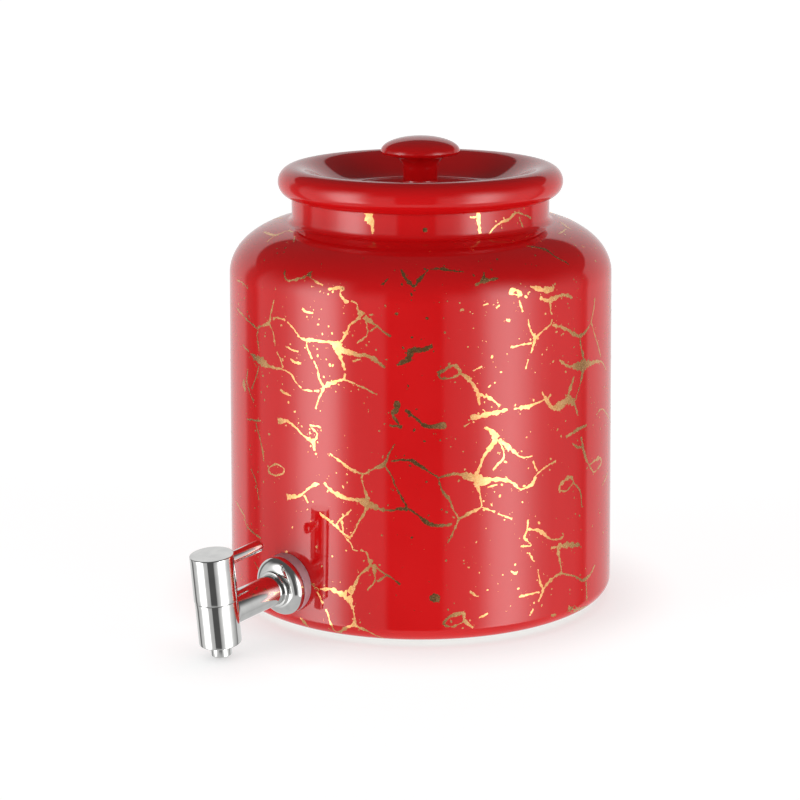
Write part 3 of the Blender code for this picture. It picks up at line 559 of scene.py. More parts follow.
# %% [markdown]
# ## Lid
#
# The lid is thrown upside down, then its knob is stuck on and glazed with it, so it is one
# piece: a plug that drops into the neck, a thick rolled rim that lies over the lip, a dished
# top and a mushroom knob on a flared stem. Its outline goes from under its middle out round the
# rim and back in to the knob's top.

# %% Lid
LID_SIDES = 256
RIM_ROLL_WIDTH = 0.0100
RIM_ROLL_HEIGHT = 0.0095
RIM_OVER_LIP = 0.0070
CHANNEL_CLEARANCE = 0.0011
GAP = 0.0003
SPIGOT_CLEARANCE = 0.0010
SPIGOT_WALL = 0.0065
SPIGOT_DEPTH = 0.0165
SPIGOT_ROUND = 0.0022
DISH_DEPTH = 0.0140
DISH_FLOOR_RADIUS = 0.0440
FLAT_UNDERSIDE_SHARE = 0.9
LID_WALL = 0.0075
STEM_RADIUS = 0.0106
STEM_FLARE = 0.0060
STEM_WAIST = 0.0055
TRUMPET_WIDTH = 0.0109
TRUMPET_HEIGHT = 0.0090
KNOB_EDGE_WIDTH = 0.0028
KNOB_EDGE_HEIGHT = 0.0023

rim_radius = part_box("lid")[1].x
knob_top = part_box("lid")[1].z
rim_crest = LIP_TOP + RIM_OVER_LIP
roll_centre = rim_radius - RIM_ROLL_WIDTH
dish_floor = rim_crest - DISH_DEPTH


def dish_height(radius):
    """Height of the dished top, a smooth sweep from its floor up to the rim's crest."""
    share = max(0.0, (radius - DISH_FLOOR_RADIUS) / (roll_centre - DISH_FLOOR_RADIUS))
    return dish_floor + DISH_DEPTH * (1 - math.cos(math.pi * share)) / 2


spigot_radius = neck_bore - SPIGOT_CLEARANCE
spigot_inner = spigot_radius - SPIGOT_WALL
round_centre = LIP_TOP - SPIGOT_DEPTH + SPIGOT_ROUND
channel_radius = NECK_RADIUS + CHANNEL_CLEARANCE
roll_start = -math.degrees(math.acos((channel_radius - roll_centre) / RIM_ROLL_WIDTH))
trumpet_low = dish_floor + STEM_FLARE + STEM_WAIST
knob_edge = trumpet_low + TRUMPET_HEIGHT + KNOB_EDGE_HEIGHT
trumpet_radius = STEM_RADIUS + TRUMPET_WIDTH
knob_radius = trumpet_radius + KNOB_EDGE_WIDTH
lid_outline = [(0.0, dish_floor - LID_WALL),
                (DISH_FLOOR_RADIUS * FLAT_UNDERSIDE_SHARE, dish_floor - LID_WALL)]
lid_outline += [(radius, dish_height(radius) - LID_WALL)
                for radius, _ in straight((DISH_FLOOR_RADIUS, 0.0), (spigot_inner, 0.0), 12)]
lid_outline += arc(spigot_inner + SPIGOT_ROUND, round_centre, SPIGOT_ROUND, SPIGOT_ROUND,
                   180, 270, 6)
lid_outline += arc(spigot_radius - SPIGOT_ROUND, round_centre, SPIGOT_ROUND, SPIGOT_ROUND,
                   270, 360, 6)
lid_outline += [(spigot_radius, LIP_TOP + GAP), (channel_radius, LIP_TOP + GAP)]
lid_outline += arc(roll_centre, rim_crest - RIM_ROLL_HEIGHT, RIM_ROLL_WIDTH, RIM_ROLL_HEIGHT,
                   roll_start, 90, 40)
lid_outline += [(radius, dish_height(radius))
                for radius, _ in straight((roll_centre, 0.0), (DISH_FLOOR_RADIUS, 0.0), 36)[1:]]
lid_outline += straight((DISH_FLOOR_RADIUS, dish_floor),
                        (STEM_RADIUS + STEM_FLARE, dish_floor), 6)[1:-1]
lid_outline += arc(STEM_RADIUS + STEM_FLARE, dish_floor + STEM_FLARE, STEM_FLARE, STEM_FLARE,
                   270, 180, 14)
lid_outline += arc(trumpet_radius, trumpet_low, TRUMPET_WIDTH, TRUMPET_HEIGHT, 180, 90, 18)
lid_outline += arc(trumpet_radius, knob_edge, KNOB_EDGE_WIDTH, KNOB_EDGE_HEIGHT, -90, 0, 10)[1:]
lid_outline += arc(0.0, knob_edge, knob_radius, knob_top - knob_edge, 0, 90, 28)[1:]
lid = turned("lid_glazed", lid_outline, LID_SIDES, red_glaze)
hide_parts("lid")
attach(lid, "lid")

# %% [markdown]
# ## Polished steel
#
# The tap is stainless steel, turned and then buffed to a mirror. A mirror finish is a metal
# with very low roughness; what tells the eye that it is steel are the hair-thin polishing marks
# that stretch each highlight a little, and a few smudges that soften it. The clamp inside the
# jar is the same steel, left as it came off the machine, so it is greyer and rougher.

# %% Steel finishes
def steel_finish(name, light, dark, low_roughness, high_roughness, mark_height_mm):
    """Stainless steel with smudges and fine polishing marks."""
    return new_finish(name, (7, light, dark, 3.0), [(1.6, mark_height_mm, 3.0)], low_roughness,
                      (3, low_roughness, high_roughness, 4.0), metallic=1.0, drawn_out=14.0)


# Buffed steel gives hard black and white bands, softened here and there by a smudge.
mirror_steel = steel_finish("mirror-polished stainless steel", "E6E6E4", "D9D9D8", 0.025, 0.06,
                            0.0003)
# Machined steel gives one broad grey sheen with fine rings across it. Real tool marks are
# 0.1 mm apart, too fine to show, so they are drawn coarser.
machined_steel = steel_finish("machined stainless steel", "BEBEBC", "A9A9A8", 0.24, 0.36, 0.004)

# %% [markdown]
# ## Tap
#
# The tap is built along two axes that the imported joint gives: the barrel's, which the handle
# turns on, and the arm's, which leaves the jar's wall square to it. Every steel part is turned,
# so each is an outline on one of these axes. The arm is a tube whose end is saddled to fit
# inside the barrel's wall, and its far end is threaded for the nut inside the jar.

# %% Axes of the tap
TAP_REACH = 0.0591
joint = next(entry for entry in frame["joints"] if entry["name"] == "handle_turn")
barrel_axis = Vector(joint["axis"]).normalized()
barrel_centre = Vector(joint["pos_m"])
across = Vector((1.0, 0.0, 0.0))
outwards = across.cross(barrel_axis) * -1.0
if outwards.y > 0:
    outwards.negate()
arm_start = barrel_centre - outwards * TAP_REACH


def standing(origin, upward, side):
    """The matrix that lays a piece turned about Z on another axis."""
    depth = upward.cross(side)
    turn_matrix = Matrix((side, depth, upward)).transposed().to_4x4()
    return Matrix.Translation(origin) @ turn_matrix


on_barrel = standing(barrel_centre, barrel_axis, across)
on_arm = standing(arm_start, outwards, across)
print("arm starts at", [round(value * 1000, 2) for value in arm_start], "mm")

# %% Barrel, arm and shank
TAP_SIDES = 128
BARREL_RADIUS = 0.0126
BARREL_TOP = 0.0098
BARREL_BOTTOM = -0.0172
BARREL_CHAMFER = 0.0008
CHAMBER_RADIUS = 0.0104
CHAMBER_FLOOR = -0.0145
OUTLET_RADIUS = 0.0047
NOZZLE_RADIUS = 0.0062
NOZZLE_SEAT = 0.0016
ARM_RADIUS = 0.0094
ARM_BORE = 0.0050
SHANK_RADIUS = 0.0079
SHANK_END = 0.0236
SHANK_CHAMFER = 0.0008
ARM_SHOULDER = 0.0068
THREAD_PITCH = 0.0015
THREAD_DEPTH = 0.0016
THREAD_ROWS_PER_TURN = 8

seat_top = BARREL_BOTTOM + NOZZLE_SEAT
nozzle_hole = NOZZLE_RADIUS + GAP
EDGE_ROUND = 0.0003
barrel_outline = [(nozzle_hole, BARREL_BOTTOM)]
barrel_outline += low_edge(BARREL_RADIUS, BARREL_BOTTOM, BARREL_CHAMFER, 8)
barrel_outline += straight((BARREL_RADIUS, BARREL_BOTTOM + BARREL_CHAMFER),
                           (BARREL_RADIUS, BARREL_TOP - EDGE_ROUND), 12)[1:]
barrel_outline += high_edge(BARREL_RADIUS, BARREL_TOP, EDGE_ROUND, 4)[1:]
barrel_outline += [(CHAMBER_RADIUS, BARREL_TOP), (CHAMBER_RADIUS, CHAMBER_FLOOR),
                   (OUTLET_RADIUS, CHAMBER_FLOOR), (OUTLET_RADIUS, seat_top),
                   (nozzle_hole, seat_top), (nozzle_hole, BARREL_BOTTOM)]
tap_body = turned("tap_barrel_and_arm", barrel_outline, TAP_SIDES, mirror_steel, on_barrel)

wall_middle = (BARREL_RADIUS + CHAMBER_RADIUS) / 2
thread_length = SHANK_END - SHANK_CHAMFER - JAR_WALL
thread_rows = round(thread_length / THREAD_PITCH * THREAD_ROWS_PER_TURN)
arm_outline = [(ARM_BORE, -SHANK_END), (SHANK_RADIUS - SHANK_CHAMFER, -SHANK_END)]
arm_outline += straight((SHANK_RADIUS, SHANK_CHAMFER - SHANK_END),
                        (SHANK_RADIUS, -JAR_WALL), thread_rows)
threaded_points = range(2, len(arm_outline))
arm_outline += [(SHANK_RADIUS, ARM_SHOULDER), (ARM_RADIUS - EDGE_ROUND, ARM_SHOULDER),
                (ARM_RADIUS, ARM_SHOULDER + EDGE_ROUND)]
arm_outline += straight((ARM_RADIUS, ARM_SHOULDER + EDGE_ROUND), (ARM_RADIUS, TAP_REACH), 10)[1:]
arm_outline += [(ARM_BORE, TAP_REACH), (ARM_BORE, -SHANK_END)]
arm = turned("arm", arm_outline, TAP_SIDES, mirror_steel, thread=threaded_points,
             pitch=THREAD_PITCH, depth=THREAD_DEPTH)
for vertex in arm.data.vertices:
    saddle = TAP_REACH - math.sqrt(wall_middle ** 2 - min(vertex.co.x ** 2, ARM_RADIUS ** 2))
    vertex.co.z = min(vertex.co.z, saddle)
arm.data.transform(on_arm)
print("thread of", thread_rows // THREAD_ROWS_PER_TURN, "turns")

# %% Joining two meshes into one piece
def joined(piece, *others):
    """Adds other objects' meshes to a piece and removes the others."""
    with bpy.context.temp_override(active_object=piece, selected_editable_objects=[
            piece, *others]):
        bpy.ops.object.join()
    return piece


joined(tap_body, arm)
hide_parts("tap_body")
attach(tap_body, "root")

# %% [markdown]
# ## Cover ring, nozzle, cap and lever
#
# A domed cover ring hides the hole in the glaze. The nozzle is a short tube pressed into the
# barrel's floor. The cap turns on top of the barrel, and a rod with a round end screws into it
# as its lever. All are turned pieces with crisp but softened edges, because a real edge always
# catches a thin line of light.

# %% Cover ring
FLANGE_RADIUS = 0.0180
FLANGE_BACK = 0.0043
FLANGE_EDGE = 0.0022
FLANGE_PLATE = 0.0022
FLANGE_DEPTH = 0.0095
FLANGE_COLLAR_RADIUS = 0.0112
FLANGE_COLLAR_DEPTH = 0.0020

flange_front = FLANGE_BACK + FLANGE_DEPTH
collar_back = flange_front - FLANGE_COLLAR_DEPTH
shank_hole = SHANK_RADIUS + GAP
arm_hole = ARM_RADIUS + GAP / 3
flange_outline = [(shank_hole, FLANGE_BACK)]
flange_outline += low_edge(FLANGE_RADIUS, FLANGE_BACK, EDGE_ROUND, 4)
flange_outline += straight((FLANGE_RADIUS, FLANGE_BACK + EDGE_ROUND),
                           (FLANGE_RADIUS, FLANGE_BACK + FLANGE_EDGE), 3)[1:]
flange_outline += arc(FLANGE_COLLAR_RADIUS, FLANGE_BACK + FLANGE_EDGE,
                      FLANGE_RADIUS - FLANGE_COLLAR_RADIUS,
                      collar_back - FLANGE_BACK - FLANGE_EDGE, 0, 90, 28)[1:]
flange_outline += high_edge(FLANGE_COLLAR_RADIUS, flange_front, EDGE_ROUND, 4)
flange_outline += [(arm_hole, flange_front), (arm_hole, FLANGE_BACK + FLANGE_PLATE),
                   (shank_hole, FLANGE_BACK + FLANGE_PLATE), (shank_hole, FLANGE_BACK)]
flange = turned("cover_ring", flange_outline, TAP_SIDES, mirror_steel, on_arm)
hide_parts("escutcheon")
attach(flange, "root")

# %% Nozzle
NOZZLE_DROP = 0.0075
NOZZLE_CHAMFER = 0.0005

nozzle_low = BARREL_BOTTOM - NOZZLE_DROP
nozzle_outline = [(OUTLET_RADIUS, nozzle_low)]
nozzle_outline += low_edge(NOZZLE_RADIUS, nozzle_low, NOZZLE_CHAMFER, 5)
nozzle_outline += [(NOZZLE_RADIUS, seat_top - GAP), (OUTLET_RADIUS, seat_top - GAP),
                   (OUTLET_RADIUS, nozzle_low)]
nozzle = turned("nozzle", nozzle_outline, TAP_SIDES, mirror_steel, on_barrel)
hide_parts("outlet_nozzle")
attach(nozzle, "root")

# %% Cap
CAP_RADIUS = 0.0130
CAP_TOP = 0.0381
CAP_WALL = 0.0014
CAP_RECESS_DEPTH = 0.0096
CAP_ROUND = 0.0003
MIRROR_SKIN = 0.00003
SPINDLE_RADIUS = 0.0042
SPINDLE_TOP = 0.0358

cap_bottom = BARREL_TOP + GAP
recess_top = cap_bottom + CAP_RECESS_DEPTH
cap_outline = [(0.0, SPINDLE_TOP + GAP), (SPINDLE_RADIUS + GAP, SPINDLE_TOP + GAP),
               (SPINDLE_RADIUS + GAP, recess_top), (CAP_RADIUS - CAP_WALL, recess_top),
               (CAP_RADIUS - CAP_WALL, cap_bottom)]
cap_outline += low_edge(CAP_RADIUS, cap_bottom, CAP_ROUND, 5)
cap_outline += straight((CAP_RADIUS, cap_bottom + CAP_ROUND), (CAP_RADIUS, CAP_TOP - CAP_ROUND),
                        14)[1:]
cap_outline += high_edge(CAP_RADIUS, CAP_TOP, CAP_ROUND, 5)[1:]
cap_outline += straight((CAP_RADIUS - CAP_ROUND, CAP_TOP), (0.0, CAP_TOP), 6)[1:]
cap_outline = [(radius - min(radius, MIRROR_SKIN), height) for radius, height in cap_outline]
cap = turned("turning_cap", cap_outline, TAP_SIDES, mirror_steel, on_barrel)
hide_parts("handle_cap")
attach(cap, "handle")

# %% Lever
LEVER_SIDES = 64
LEVER_RADIUS = 0.0036
LEVER_LENGTH = 0.0407
LEVER_BELOW_TOP = 0.0074
LEVER_SEAT = 0.0025
LEVER_TAIL_RADIUS = 0.0018
LEVER_TAIL_IN_SPINDLE = 0.0016
LEVER_AT_REST = math.radians(90)

towards_jar = barrel_axis.cross(across)
lever_direction = across * math.cos(LEVER_AT_REST) + towards_jar * math.sin(LEVER_AT_REST)
lever_start = barrel_centre + barrel_axis * (CAP_TOP - LEVER_BELOW_TOP)
on_lever = standing(lever_start, lever_direction, barrel_axis)
lever_seat = CAP_RADIUS - LEVER_SEAT + GAP
tail_end = SPINDLE_RADIUS - LEVER_TAIL_IN_SPINDLE
lever_outline = [(0.0, tail_end), (LEVER_TAIL_RADIUS, tail_end),
                 (LEVER_TAIL_RADIUS, lever_seat), (LEVER_RADIUS, lever_seat)]
lever_outline += straight((LEVER_RADIUS, lever_seat), (LEVER_RADIUS, LEVER_LENGTH - LEVER_RADIUS),
                          8)[1:]
lever_outline += arc(0.0, LEVER_LENGTH - LEVER_RADIUS, LEVER_RADIUS, LEVER_RADIUS, 0, 90, 14)[1:]
lever = turned("lever_rod", lever_outline, LEVER_SIDES, mirror_steel, on_lever)
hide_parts("lever")
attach(lever, "handle")

# %% [markdown]
# ## Holes for the tap and the lever
#
# The tap's shank goes through a hole bored in the jar's wall, and the lever's rod through one
# in the cap. A hole in a curved wall is easiest as a difference of two solids, so each is cut
# by a rod, once, and the cutter is thrown away.

# %% Bored holes
HOLE_SIDES = 64
WALL_HOLE_RADIUS = 0.0090
OVERRUN = 0.0100


def carved(piece, cutter, operation):
    """Changes a piece by another solid for good."""
    modifier = piece.modifiers.new("carve", "BOOLEAN")
    modifier.operation = operation
    modifier.solver = "EXACT"
    modifier.object = cutter
    view_layer = bpy.context.evaluated_depsgraph_get()
    mesh = bpy.data.meshes.new_from_object(piece.evaluated_get(view_layer))
    piece.modifiers.clear()
    piece.data = mesh
    bpy.data.objects.remove(cutter)
    print(piece.name, "carved,", len(mesh.polygons), "faces")


wall_cutter = turned("wall_cutter", [(0.0, -JAR_WALL - OVERRUN),
                                     (WALL_HOLE_RADIUS, -JAR_WALL - OVERRUN),
                                     (WALL_HOLE_RADIUS, OVERRUN), (0.0, OVERRUN)],
                     HOLE_SIDES, bare_clay, on_arm)
carved(jar, wall_cutter, "DIFFERENCE")
lever_cutter = turned("lever_cutter", [(0.0, SPINDLE_RADIUS / 2), (LEVER_TAIL_RADIUS + GAP,
                                                                   SPINDLE_RADIUS / 2),
                                       (LEVER_TAIL_RADIUS + GAP, lever_seat - GAP),
                                       (LEVER_RADIUS + GAP / 2, lever_seat - GAP),
                                       (LEVER_RADIUS + GAP / 2, CAP_RADIUS + OVERRUN),
                                       (0.0, CAP_RADIUS + OVERRUN)], HOLE_SIDES, mirror_steel,
                      on_lever)
carved(cap, lever_cutter, "DIFFERENCE")
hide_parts("jar")
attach(jar, "root")

# %% [markdown]
# ## Gaskets and clamp
#
# Two silicone rings seal the hole, one each side of the wall. Each has one flat face and one
# that takes the jar's curve, so the ring is turned first and then its curved face is laid on
# the wall. Silicone is milky and lets some light in, so the red glaze tints the outer one pink;
# that pink is painted light, set into the colour of all the silicone parts.
# Behind the inner ring come a plain washer and a hexagonal nut.

# %% Silicone
# Light goes a little way into silicone, so its edges glow softly and it never looks painted.
# The pink in these two colours is painted light: the red glaze seen through the silicone.
silicone = new_finish("milky silicone rubber", (5, "BD8E96", "CDA3A8"), [(1.2, 0.01, 2.0)], 0.32)
soft_shader = silicone.node_tree.nodes["Principled BSDF"]
soft_shader.inputs["Subsurface Weight"].default_value = 0.35
soft_shader.inputs["Subsurface Radius"].default_value = (1.0, 0.6, 0.6)
soft_shader.inputs["Subsurface Scale"].default_value = 0.003

# %% Gaskets
INNER_GASKET_RADIUS = 0.0150
INNER_GASKET_END = 0.0115
RING_ROUND = 0.0005
FACE_REACH = 0.0001
LAYING_STEPS = 4

side_slope = (BASE_RADIUS - SIDE_TOP_RADIUS) / (SIDE_TOP - corner_top)


def lay_on_wall(piece, from_height, wall_offset):
    """Moves the curved face of a ring on the arm's axis so that it follows the jar's wall."""
    for vertex in piece.data.vertices:
        if (vertex.co.z - from_height) * (from_height + JAR_WALL / 2) > 0:
            continue
        for _ in range(LAYING_STEPS):
            spot = on_arm @ vertex.co
            wall = BASE_RADIUS - (spot.z - corner_top) * side_slope + wall_offset
            target = -math.sqrt(wall ** 2 - spot.x ** 2)
            vertex.co.z += (spot.y - target) / -outwards.y
    piece.data.transform(on_arm)


def ring_outline(bore, radius, low, high, round_low, round_high):
    """A flat ring's section, with one or both outer corners softened."""
    section = [(bore, low)]
    if round_low:
        section += low_edge(radius, low, RING_ROUND, 5)
    else:
        section.append((radius, low))
    if round_high:
        section += high_edge(radius, high, RING_ROUND, 5)
    else:
        section.append((radius, high))
    return section + [(bore, high), (bore, low)]


outer_gasket = turned("outer_gasket_ring", ring_outline(shank_hole, FLANGE_RADIUS, 0.0,
                                                        FLANGE_BACK - GAP, False, True),
                      TAP_SIDES, silicone)
lay_on_wall(outer_gasket, FACE_REACH, GAP / 2)
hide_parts("outer_gasket")
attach(outer_gasket, "root")
inner_gasket = turned("inner_gasket_ring", ring_outline(shank_hole, INNER_GASKET_RADIUS,
                                                        -INNER_GASKET_END, -JAR_WALL, True,
                                                        False), TAP_SIDES, silicone)
lay_on_wall(inner_gasket, -JAR_WALL - FACE_REACH, -JAR_WALL - GAP / 2)
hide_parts("inner_gasket")
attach(inner_gasket, "root")

# %% Washer and nut
BACKING_WASHER_RADIUS = 0.0140
BACKING_WASHER_THICKNESS = 0.0015
NUT_ACROSS_FLATS = 0.0240
NUT_THICKNESS = 0.0070
NUT_CHAMFER = 0.0010
NUT_CHAMFER_RISE = NUT_CHAMFER * 1.4

washer_start = INNER_GASKET_END + GAP
nut_start = washer_start + BACKING_WASHER_THICKNESS + GAP
washer = turned("clamp_washer", ring_outline(shank_hole, BACKING_WASHER_RADIUS,
                                             -washer_start - BACKING_WASHER_THICKNESS,
                                             -washer_start, True, True),
                TAP_SIDES, machined_steel, on_arm)
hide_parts("backing_washer")
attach(washer, "root")

nut_corner = NUT_ACROSS_FLATS / 2 / math.cos(math.pi / 6)
nut_low = -nut_start - NUT_THICKNESS
chamfer_radius = NUT_ACROSS_FLATS / 2 - NUT_CHAMFER
nut = turned("clamp_nut", [(0.0, nut_low), (nut_corner, nut_low), (nut_corner, -nut_start),
                           (0.0, -nut_start)], 6, machined_steel, on_arm)
nut_chamfer = turned("nut_chamfer", [(0.0, nut_low), (chamfer_radius, nut_low),
                                     (nut_corner + GAP, nut_low + NUT_CHAMFER_RISE),
                                     (nut_corner + GAP, -nut_start), (0.0, -nut_start)],
                     TAP_SIDES, machined_steel, on_arm)
carved(nut, nut_chamfer, "INTERSECT")
nut_bore = turned("nut_bore", [(0.0, nut_low - OVERRUN), (shank_hole, nut_low - OVERRUN),
                               (shank_hole, OVERRUN - nut_start), (0.0, OVERRUN - nut_start)],
                  HOLE_SIDES, machined_steel, on_arm)
carved(nut, nut_bore, "DIFFERENCE")
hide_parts("lock_nut")
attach(nut, "root")

# %% [markdown]
# ## Inside the barrel
#
# The valve is a stack that nobody sees until the cap comes off: a brass housing and spindle,
# two lapped ceramic discs, rubber rings and a spring clip. Their solids already have the right
# shape, so they stay, and each only gets the finish of its real material.

# %% Finishes of the hidden parts
# Moulded rubber is a dark grey with a dull, slightly pebbled sheen, never pure black.
black_rubber = new_finish("moulded nitrile rubber", (1.5, "141414", "232323"),
                          [(0.5, 0.008, 2.0)], 0.55)

# Turned brass shows fine rings from the lathe, which spread its highlight along the axis. They
# are 0.1 mm apart on a real part and drawn coarser here.
turned_brass = new_finish("turned brass", (4, "C9A24E", "B08A3C", 3.0), [(4.0, 0.004, 2.0)],
                          0.28, metallic=1.0, drawn_out=30.0)

# Lapped ceramic is a warm, even off-white with a satin sheen, as smooth as an eggshell.
lapped_alumina = new_finish("lapped alumina ceramic", (2, "E9E4D4", "F3F0E6", 3.0),
                            [(0.4, 0.002, 2.0)], 0.22)

# Spring steel is darker and a little bluer than the tap, as its hardening leaves it.
spring_steel = steel_finish("spring steel", "A6A7A9", "8B8C8F", 0.22, 0.34, 0.002)

hidden_finishes = {
    "valve_housing": turned_brass, "spindle": turned_brass, "housing_seal": black_rubber,
    "spindle_seal_lower": black_rubber, "spindle_seal_upper": black_rubber,
    "seat_seal": silicone, "fixed_disc": lapped_alumina, "moving_disc": lapped_alumina,
    "retaining_clip": spring_steel,
}
for name, finish in hidden_finishes.items():
    nodes[name].data.materials.clear()
    nodes[name].data.materials.append(finish)
print(len(hidden_finishes), "hidden parts finished")

# %% [markdown]
# ## Gold
#
# The marbling is gold lustre: a solution of gold is brushed on the fired glaze and fired again
# at a low heat. It comes out as a film of bright metal, a little rough from the brush, that
# takes the light of whatever it faces, from pale yellow to nearly brown.

# %% Gold lustre
# The film is cream where it mirrors a soft box and brown where it faces a dark gap, so the eye
# sees thin metal and not yellow paint. Brush marks and wear break up each highlight.
gold_lustre = new_finish("fired gold lustre", (3, "F3BC83", "E0A266", 3.0), [(1.0, 0.02, 2.0)],
                         0.2, (1.2, 0.14, 0.32, 3.0), metallic=1.0)
